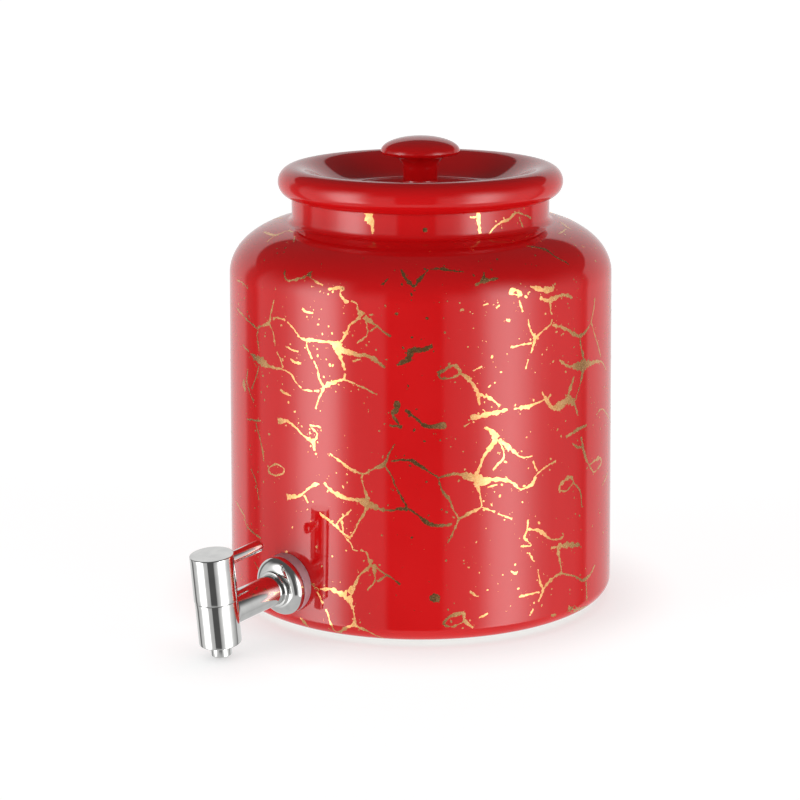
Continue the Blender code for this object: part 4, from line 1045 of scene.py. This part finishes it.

# %% [markdown]
# ## Where the veins run
#
# The veins look like cracks in marble: thin lines that split, cross and swell into small pools.
# Each is a short list of spots in the photograph's pixels, some with a width, drawn in the
# same places as on the real jar. A ray from the camera through each spot finds the glaze.
# The spots are kept as distances round the jar and up its outline, so the veins can then be
# drawn flat, as on paper. Each vein's film is a shade thicker or thinner than the others', so
# no two lie in one plane where they cross.

# %% Vein spots, as x,y or x,y,width in pixels
VEINS = {
    "neck": ["367,211,9 369,217,10 372,225,6 373,234,2", "423,230,3 427,230,3",
             "478,213,5 479,222,5 480,234,4", "470,217 476,217",
             "489,233 498,224 509,219,3 516,213 525,215 531,218", "514,211 516,213",
             "519,217 523,227"],
    "shoulder": ["264,232 276,235,3 287,231 293,232", "267,242 276,235", "295,236 294,242",
                 "237,280 243,283 248,289", "560,222 567,227,3 571,229", "559,234 566,229",
                 "526,246 544,249,3 554,256 567,263"],
    "upper left": ["285,269 287,280 301,278,3 308,275,3 312,271", "308,275 314,280 323,285",
                   "328,289 335,288,3 343,289,3 340,293 345,301,3 349,302",
                   "351,301 357,304 358,310,3 362,316,9", "369,315 373,314",
                   "360,317,4 351,324 347,332,3 341,341 338,345",
                   "366,317 367,327 368,332 364,338 357,343",
                   "364,317,5 377,326 384,332 391,336", "377,326 370,331"],
    "left of centre": ["327,342 332,343,4 337,346,10 341,350,7 347,352,4 358,355,3 365,355,3 "
                       "375,360,3 385,368",
                       "327,342 314,340,3 307,340,3 300,337 294,329 287,322",
                       "285,320 279,318 273,319", "353,361 361,359",
                       "338,350,6 342,361,3 345,370", "345,373 344,379",
                       "344,379 335,382,3 324,387,3", "344,379 356,384 377,395",
                       "307,341 307,347 312,359", "314,361 317,369 319,378 324,387,3",
                       "324,387,3 319,398 316,409", "302,309 306,312,2 313,313",
                       "286,346 292,350,2 298,351", "290,359 296,363,2 301,364",
                       "280,390 286,394,2 291,396"],
    "left net": ["274,301 271,313 269,322,3 258,328", "269,323 273,332 275,346",
                 "277,352 281,361 283,368", "237,308 256,328 257,335 259,351",
                 "250,354 256,358,4 261,361,8 272,367,3 282,369 291,374 296,382 302,388",
                 "303,389 312,391", "314,390 319,391", "243,345 249,352",
                 "259,366 256,377 252,389", "244,380,3 244,385,6 246,391,3",
                 "248,369 247,382 250,393 254,403", "247,419 261,421",
                 "256,423 261,443 264,461"],
    "left middle": ["278,421,5 287,421,3 296,428 303,435 314,442,6",
                    "314,442 317,434 310,425 321,428", "314,442,3 314,451",
                    "276,464 283,468 283,473 276,476 270,473 269,468 276,464",
                    "330,454 340,461 350,469,3 363,474 372,470 384,464,3 389,454 395,444",
                    "384,464 391,475 397,489 407,507", "391,461 410,460 424,467",
                    "251,469 256,481 259,500", "236,501 244,515 247,526 261,538",
                    "254,561 259,570"],
    "centre": ["397,401,3 397,409,6 393,415,3 399,425", "389,425,3 402,427,3",
               "405,410,3 416,418 427,426,3 446,425,5",
               "397,365,3 407,360,5 412,350,5 422,350,4 433,346,4", "395,313,3 398,314,3",
               "426,318,3 429,319,3", "401,270 406,279,3 414,286,3 420,279,3 428,269",
               "430,269 442,269,3 453,271 464,272", "383,284 388,278"],
    "upper right": ["484,272 485,280,4 498,278", "485,280,4 475,285",
                    "530,286 542,290,5 553,288,4 552,284", "509,294 515,290,4 521,295 509,294",
                    "519,300 523,312", "540,298,3 549,300,4 564,295,4 573,298",
                    "549,300 552,315", "552,319 551,324", "551,324 543,331 535,338",
                    "528,319 531,332 535,338,3 531,353", "528,359 526,369", "532,343 511,347",
                    "552,325 566,329,3 580,336,3 591,322 595,298", "591,322 596,339 601,357",
                    "559,360 568,366,3 576,366,5 584,365,9 592,363,4 601,361 606,370",
                    "584,362,5 581,346 580,336", "584,366,5 580,385 575,401",
                    "483,305 488,303", "496,308 500,305", "460,310 464,310",
                    "506,320,3 510,321,3",
                    "473,371 482,366"],
    "right of centre": ["438,374,3 445,369,3 455,365,3 460,373,4 453,377 442,379 438,374,3",
                        "458,372,5 467,377,4 473,385,3 478,394,3 480,405", "483,409 486,414",
                        "478,394 488,397,3 495,402 500,406",
                        "470,418,4 484,415,4 502,411,3 508,410",
                        "464,427 470,423", "514,409 529,406,3 540,402 546,399",
                        "484,428 490,430,3 497,439,7", "497,439,4 486,453,3 481,464 476,476,4",
                        "501,443 504,456 498,464 493,470",
                        "499,440,4 512,450,3 522,457 532,456"],
    "right": ["542,392 547,401,3 554,408,6 567,401,8 574,404,4 578,416", "567,399,5 574,376",
              "547,401 551,394", "566,437 577,430,3 587,425", "572,443 577,447,3 582,447",
              "581,437 585,456,3 589,465", "589,465 599,458,3 601,463 594,472 589,465",
              "596,415 602,409 609,418", "602,486 608,471",
              "559,491 561,484,3 570,477,3 573,482 566,491 559,491", "573,482 580,491 582,507"],
    "middle": ["438,477 456,474,3 466,476,5 476,479,10 484,481,5 498,479,3 511,482,3 521,489 "
               "532,484,3 537,474 549,465 556,461", "537,471 533,461",
               "400,460 413,461,3 428,471 438,477", "438,477 442,490 449,499,3 453,510 459,519",
               "459,519 448,543", "459,519 470,513,3 481,507 481,499 476,482,5",
               "481,507 495,512", "498,514 512,519", "488,487 497,484"],
    "lower left": ["287,497,6 299,496,3 305,491 314,485,3 320,484", "304,495 308,503",
                   "324,483 333,492,3 345,498,3 358,500,4 369,504,9",
                   "362,480 364,488 368,500,4", "363,474 362,479",
                   "369,504,6 384,510,3 406,509,3 416,514 428,523,3 442,526,3 452,524",
                   "368,506,4 359,521 356,529 351,537",
                   "319,513 327,519,3 335,526 344,534 351,538,3",
                   "335,526 341,519 351,510", "342,520 343,533",
                   "345,537 351,544 353,549 358,551",
                   "361,550 367,553 368,558 372,563,6", "372,564,3 360,575 355,584,3 349,593,5",
                   "320,589 331,589,3 340,593,4 347,595,9", "307,580 319,590",
                   "374,565,3 375,581 367,590", "373,566,3 387,575 400,584", "387,575 377,581",
                   "348,596,5 354,614 354,624,3 345,628,3 337,632 330,621 326,609",
                   "354,625,3 369,632 384,638", "317,592 323,603", "300,618 304,622,3 309,627",
                   "283,560 287,551",
                   "443,623 450,617,3 462,613,3 464,620 456,626 446,626 443,623",
                   "464,620,3 473,628 479,637", "479,618 488,613",
                   "430,598,4 435,598,6 440,598,4"],
    "lower right": ["528,520 527,531 524,537,3 531,545 521,546",
                    "528,529 540,531,3 551,539 563,537 562,533", "529,552 534,562",
                    "551,548,3 568,545,5 580,545,3", "558,548,4 561,569 561,573",
                    "561,573 551,580,3 543,590", "538,569 540,582 543,590,3 538,602",
                    "533,609 530,616", "540,592 519,597", "561,573 573,576 585,580,3 595,565",
                    "586,580 587,601", "568,609,5 581,609,5 587,606,3",
                    "470,592 475,595,2 479,596",
                    "511,571 517,574", "551,615,2 556,615,2"],
}
FINE_VEIN = 1.5
FLAT_RADIUS = BASE_RADIUS

skin_lengths = [0.0]
for before, after in zip(skin, skin[1:]):
    skin_lengths.append(skin_lengths[-1] + math.dist(before, after))


def length_up_skin(radius, height):
    """Distance up the jar's outline to the place nearest a (radius, height) point."""
    best = (1.0, 0.0)
    for number in range(len(skin) - 1):
        ax, ay = skin[number]
        bx, by = skin[number + 1]
        span = (bx - ax) ** 2 + (by - ay) ** 2
        share = ((radius - ax) * (bx - ax) + (height - ay) * (by - ay)) / span
        share = min(1.0, max(0.0, share))
        miss = math.dist((radius, height), (ax + (bx - ax) * share, ay + (by - ay) * share))
        best = min(best, (miss, skin_lengths[number] + math.sqrt(span) * share))
    return best[1]


def on_glaze(x, y):
    """Flat place and size of a pixel for a spot of the photograph, or None off the jar."""
    ray = look + view_right * ((x - IMAGE_SIDE / 2) / FOCAL_PIXELS)
    ray += view_up * ((IMAGE_SIDE / 2 - y) / FOCAL_PIXELS)
    hit, spot, _, _ = jar.ray_cast(camera_place, ray.normalized())
    if not hit:
        return None
    flat_x = math.atan2(spot.y, spot.x) * FLAT_RADIUS
    flat_y = length_up_skin(math.hypot(spot.x, spot.y), spot.z)
    return flat_x, flat_y, (spot - camera_place).length / FOCAL_PIXELS


# %% Flat drawing of the veins, once for the front and once more for the back
HALF_TURN = math.pi * FLAT_RADIUS
GOLDEN_SHARE = 0.618
LOWEST_LIFT = 0.7
LIFT_SPREAD = 0.3

flat_spots, flat_lines, half_widths, lifts = [], [], [], []
drawn = 0
for region in VEINS.values():
    for path in region:
        spots = [[float(part) for part in spot.split(",")] for spot in path.split()]
        placed = [(on_glaze(spot[0], spot[1]), spot[2] if len(spot) > 2 else FINE_VEIN)
                  for spot in spots]
        placed = [(place, width) for place, width in placed if place]
        for turned_by in (0.0, HALF_TURN):
            drawn += 1
            start = len(flat_spots)
            for (flat_x, flat_y, pixel), width in placed:
                flat_spots.append((flat_x + turned_by, flat_y, 0.0))
                half_widths.append(width * pixel / 2)
                lifts.append(LOWEST_LIFT + LIFT_SPREAD * (drawn * GOLDEN_SHARE % 1.0))
            flat_lines += [(spot, spot + 1) for spot in range(start, len(flat_spots) - 1)]
flat_veins = bpy.data.meshes.new("flat_veins")
flat_veins.from_pydata(flat_spots, flat_lines, [])
for label, values in (("half_width", half_widths), ("lift", lifts)):
    flat_veins.attributes.new(label, "FLOAT", "POINT").data.foreach_set("value", values)
print(drawn, "veins,", len(flat_spots), "spots")

# %% [markdown]
# ## Laying a flat drawing on the jar
#
# A drawing on paper is wrapped on the jar by one rule: its x is the distance round the jar, its
# y the distance up the outline, and its z the height above the glaze. A small tree reads the
# outline as a curve, finds the place and the slope there, and swings it round the axis. The
# veins and the specks share it.

# %% Tree that wraps a drawing
outline_mesh = bpy.data.meshes.new("skin_outline")
outline_mesh.from_pydata([(radius, 0.0, height) for radius, height in skin],
                         [(number, number + 1) for number in range(len(skin) - 1)], [])
skin_outline = bpy.data.objects.new("skin_outline", outline_mesh)

wrap_tree, given, wrapped_out = new_tree("wrap_on_jar", [("Outline", "Object")])
flat = add(wrap_tree, "ShaderNodeSeparateXYZ", {
    "Vector": add(wrap_tree, "GeometryNodeInputPosition").outputs[0]}).outputs
outline_edges = add(wrap_tree, "GeometryNodeObjectInfo", {"Object": given["Outline"]})
outline_curve = add(wrap_tree, "GeometryNodeMeshToCurve", {
    "Mesh": outline_edges.outputs["Geometry"]})
spot_on_outline = add(wrap_tree, "GeometryNodeSampleCurve", {
    "Curves": outline_curve, "Length": flat["Y"]}, mode="LENGTH", use_all_curves=True).outputs
slope = add(wrap_tree, "ShaderNodeSeparateXYZ", {"Vector": spot_on_outline["Tangent"]}).outputs
downwards = add(wrap_tree, "ShaderNodeMath", {0: slope["X"], 1: -1.0},
                operation="MULTIPLY")
off_glaze = add(wrap_tree, "ShaderNodeCombineXYZ", {"X": slope["Z"], "Z": downwards})
lifted = add(wrap_tree, "ShaderNodeVectorMath", {0: off_glaze, "Scale": flat["Z"]},
             operation="SCALE")
in_section = add(wrap_tree, "ShaderNodeVectorMath", {0: spot_on_outline["Position"], 1: lifted},
                 operation="ADD")
angle = add(wrap_tree, "ShaderNodeMath", {0: flat["X"], 1: FLAT_RADIUS},
            operation="DIVIDE")
swung = add(wrap_tree, "ShaderNodeVectorRotate", {"Vector": in_section, "Angle": angle},
            rotation_type="Z_AXIS")
laid = add(wrap_tree, "GeometryNodeSetPosition", {"Geometry": given["Geometry"],
                                                  "Position": swung}).outputs[0]
wrap_tree.links.new(laid, wrapped_out.inputs[0])


# %% [markdown]
# ## Veins
#
# A brush never draws an even line, so the tree first smooths each path into a curve, lets it
# wander, sweeps a flat ribbon along it whose width swells and pinches, spatters drops beside
# it, and frays every edge. Then the gold gets the film's thickness and is wrapped on the jar.

# %% Shared steps of the two gold trees
def flakes_on(tree, points, smallest, largest):
    """A six-sided flake on each point, most of them small, all stretched and turned by chance."""
    flake = add(tree, "GeometryNodeMeshCircle", {"Vertices": 6, "Radius": 1.0},
                fill_type="NGON")
    luck = add(tree, "FunctionNodeRandomValue", {"Seed": 3}, data_type="FLOAT").outputs[1]
    mostly_small = add(tree, "ShaderNodeMath", {0: luck, 1: 3.0}, operation="POWER")
    size = add(tree, "ShaderNodeMapRange", {"Value": mostly_small, "To Min": smallest,
                                            "To Max": largest}).outputs[0]
    stretch = add(tree, "FunctionNodeRandomValue", {0: (0.7, 0.7, 1.0), 1: (1.5, 1.0, 1.0),
                                                    "Seed": 8},
                  data_type="FLOAT_VECTOR").outputs[0]
    scale = add(tree, "ShaderNodeVectorMath", {0: stretch, "Scale": size},
                operation="SCALE")
    spin = add(tree, "FunctionNodeRandomValue", {0: (0.0, 0.0, 0.0), 1: (0.0, 0.0, math.tau),
                                                 "Seed": 9}, data_type="FLOAT_VECTOR")
    turn = add(tree, "FunctionNodeEulerToRotation", {"Euler": spin})
    flakes = add(tree, "GeometryNodeInstanceOnPoints", {
        "Points": points, "Instance": flake, "Scale": scale, "Rotation": turn})
    return add(tree, "GeometryNodeRealizeInstances", {"Geometry": flakes}).outputs[0]


def shaken(tree, geometry, scale_mm, reach):
    """Moves flat points about by noise of a real size, to either side by up to the reach."""
    noise = add(tree, "ShaderNodeTexNoise", {"Scale": 1000 / scale_mm, "Detail": 2.0})
    centred = add(tree, "ShaderNodeVectorMath", {0: noise.outputs["Color"], 1: (0.5, 0.5, 0.5)},
                  operation="SUBTRACT")
    flat_shift = add(tree, "ShaderNodeVectorMath", {0: centred, 1: (2.0, 2.0, 0.0)},
                     operation="MULTIPLY")
    shift = add(tree, "ShaderNodeVectorMath", {0: flat_shift, "Scale": reach},
                operation="SCALE")
    return add(tree, "GeometryNodeSetPosition", {"Geometry": geometry, "Offset": shift}).outputs[0]


def film_on_jar(tree, flat_film, thickness, outline, finish):
    """Gives a flat film its thickness, closes it below, wraps it on the jar and finishes it."""
    sunk = add(tree, "GeometryNodeSetPosition", {
        "Geometry": flat_film, "Offset": (0.0, 0.0, -GOLD_THICKNESS / 2)})
    raised = add(tree, "GeometryNodeExtrudeMesh", {
        "Mesh": sunk, "Offset": (0.0, 0.0, 1.0), "Offset Scale": thickness,
        "Individual": False}).outputs[0]
    underside = add(tree, "GeometryNodeFlipFaces", {"Mesh": sunk}).outputs[0]
    both = add(tree, "GeometryNodeJoinGeometry")
    tree.links.new(raised, both.inputs[0])
    tree.links.new(underside, both.inputs[0])
    solid = add(tree, "GeometryNodeMergeByDistance", {
        "Geometry": both.outputs[0], "Distance": GOLD_THICKNESS / 100})
    wrapped = add(tree, "GeometryNodeGroup", {"Geometry": solid, "Outline": outline},
                  node_tree=wrap_tree)
    whole = add(tree, "GeometryNodeRealizeInstances", {"Geometry": wrapped.outputs[0]})
    return add(tree, "GeometryNodeSetMaterial", {"Geometry": whole, "Material": finish}).outputs[0]


# %% Vein tree
WANDER_MM = 7.0
SWELL_MM = 3.2
SWELL_SHARES = (0.35, 1.9)
VEIN_FRAY_MM = 1.5
SPATTER_LIFT = 0.5

vein_tree, given, veins_out = new_tree("gold_veins", [
    ("Step", "Float"), ("Wander", "Float"), ("Fray", "Float"), ("Film", "Float"),
    ("Spatter Reach", "Float"), ("Spatter", "Float"), ("Smallest", "Float"),
    ("Largest", "Float"), ("Outline", "Object"), ("Finish", "Material")])
on_paper = add(vein_tree, "GeometryNodeInputPosition")
paths = add(vein_tree, "GeometryNodeMeshToCurve", {"Mesh": given["Geometry"]})
smooth = add(vein_tree, "GeometryNodeCurveSplineType", {"Curve": paths},
             spline_type="CATMULL_ROM")
even = add(vein_tree, "GeometryNodeResampleCurve", {"Curve": smooth, "Length": given["Step"]},
           mode="LENGTH")
wandering = shaken(vein_tree, even, WANDER_MM, given["Wander"])
level = add(vein_tree, "GeometryNodeSetCurveNormal", {"Curve": wandering},
            mode="Z_UP")
half_width = add(vein_tree, "GeometryNodeInputNamedAttribute", {"Name": "half_width"})
swell = uneven(vein_tree, on_paper, SWELL_MM, *SWELL_SHARES, 3.0)
brush_width = add(vein_tree, "ShaderNodeMath", {0: half_width, 1: swell},
                  operation="MULTIPLY")
nib = add(vein_tree, "GeometryNodeCurvePrimitiveLine", {"Start": (-1.0, 0.0, 0.0),
                                                        "End": (1.0, 0.0, 0.0)})
nib_points = add(vein_tree, "GeometryNodeResampleCurve", {"Curve": nib, "Count": 3})
ribbon = add(vein_tree, "GeometryNodeCurveToMesh", {
    "Curve": level, "Profile Curve": nib_points, "Scale": brush_width}).outputs[0]
beside = add(vein_tree, "GeometryNodeCurveToMesh", {
    "Curve": level, "Profile Curve": nib_points, "Scale": given["Spatter Reach"]})
drops = add(vein_tree, "GeometryNodeDistributePointsOnFaces", {
    "Mesh": beside, "Density": given["Spatter"], "Seed": 21}).outputs["Points"]
spatter = flakes_on(vein_tree, drops, given["Smallest"], given["Largest"])
thin_spatter = add(vein_tree, "GeometryNodeStoreNamedAttribute", {
    "Geometry": spatter, "Name": "lift", "Value": SPATTER_LIFT},
                   data_type="FLOAT", domain="POINT").outputs[0]
brushed = add(vein_tree, "GeometryNodeJoinGeometry")
vein_tree.links.new(ribbon, brushed.inputs[0])
vein_tree.links.new(thin_spatter, brushed.inputs[0])
frayed = shaken(vein_tree, brushed.outputs[0], VEIN_FRAY_MM, given["Fray"])
lift = add(vein_tree, "GeometryNodeInputNamedAttribute", {"Name": "lift"})
film = add(vein_tree, "ShaderNodeMath", {0: lift, 1: given["Film"]},
           operation="MULTIPLY")
vein_tree.links.new(film_on_jar(vein_tree, frayed, film, given["Outline"], given["Finish"]),
                    veins_out.inputs[0])

# %% Veins
veins = baked("gold_veins", flat_veins, vein_tree, {
    "Step": 0.0006, "Wander": 0.0008, "Fray": 0.0008, "Film": GOLD_THICKNESS * 1.5,
    "Spatter Reach": 0.0045, "Spatter": 22000.0, "Smallest": 0.00012, "Largest": 0.0009,
    "Outline": skin_outline, "Finish": gold_lustre})
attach(veins, "root")
print("veins,", len(veins.data.polygons), "faces")

# %% [markdown]
# ## Specks
#
# Round the veins the gold is spattered: hundreds of specks, most under a millimetre, thick in
# some places and missing in others. Points are scattered on the flat drawing where a slow noise
# allows them, and each gets one small, frayed six-sided flake.

# %% Speck tree
CLUSTER_MM = 26.0
CLUSTER_SHARES = (-0.3, 1.1)
SPECK_FRAY_MM = 0.7

speck_tree, given, specks_out = new_tree("gold_specks", [
    ("Length Round", "Float"), ("Length Up", "Float"), ("Start Height", "Float"),
    ("Specks", "Float"), ("Smallest", "Float"), ("Largest", "Float"), ("Fray", "Float"),
    ("Film", "Float"), ("Outline", "Object"), ("Finish", "Material")])
paper = add(speck_tree, "GeometryNodeMeshGrid", {
    "Size X": given["Length Round"], "Size Y": given["Length Up"], "Vertices X": 2,
    "Vertices Y": 2}).outputs["Mesh"]
half_up = add(speck_tree, "ShaderNodeMath", {0: given["Length Up"], 1: 0.5,
                                             2: given["Start Height"]},
              operation="MULTIPLY_ADD")
paper_shift = add(speck_tree, "ShaderNodeCombineXYZ", {"Y": half_up})
sheet_of_paper = add(speck_tree, "GeometryNodeSetPosition", {"Geometry": paper,
                                                             "Offset": paper_shift})
scattered = add(speck_tree, "GeometryNodeDistributePointsOnFaces", {
    "Mesh": sheet_of_paper, "Density": given["Specks"], "Seed": 11}).outputs["Points"]
on_paper = add(speck_tree, "GeometryNodeInputPosition")
needed = uneven(speck_tree, on_paper, CLUSTER_MM, *CLUSTER_SHARES)
chance = add(speck_tree, "FunctionNodeRandomValue", {"Seed": 5}, data_type="FLOAT").outputs[1]
bare = add(speck_tree, "FunctionNodeCompare", {0: chance, 1: needed},
           operation="GREATER_THAN")
kept = add(speck_tree, "GeometryNodeDeleteGeometry", {"Geometry": scattered, "Selection": bare},
           domain="POINT")
loose = flakes_on(speck_tree, kept, given["Smallest"], given["Largest"])
frayed = shaken(speck_tree, loose, SPECK_FRAY_MM, given["Fray"])
speck_tree.links.new(film_on_jar(speck_tree, frayed, given["Film"], given["Outline"],
                                 given["Finish"]), specks_out.inputs[0])

# %% Specks
SPECKS_START = 0.018
SPECKS_BELOW_NECK = 0.02

shoulder_length = length_up_skin(NECK_RADIUS + NECK_FILLET, fillet_height - NECK_FILLET)
specks = baked("gold_specks", bpy.data.meshes.new("nothing_yet"), speck_tree, {
    "Length Round": math.tau * FLAT_RADIUS, "Length Up": shoulder_length - SPECKS_BELOW_NECK,
    "Start Height": SPECKS_START, "Specks": 26000.0, "Smallest": 0.00014, "Largest": 0.0009,
    "Fray": 0.0003, "Film": GOLD_THICKNESS * 1.4, "Outline": skin_outline,
    "Finish": gold_lustre})
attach(specks, "root")
print("specks,", len(specks.data.polygons), "faces")
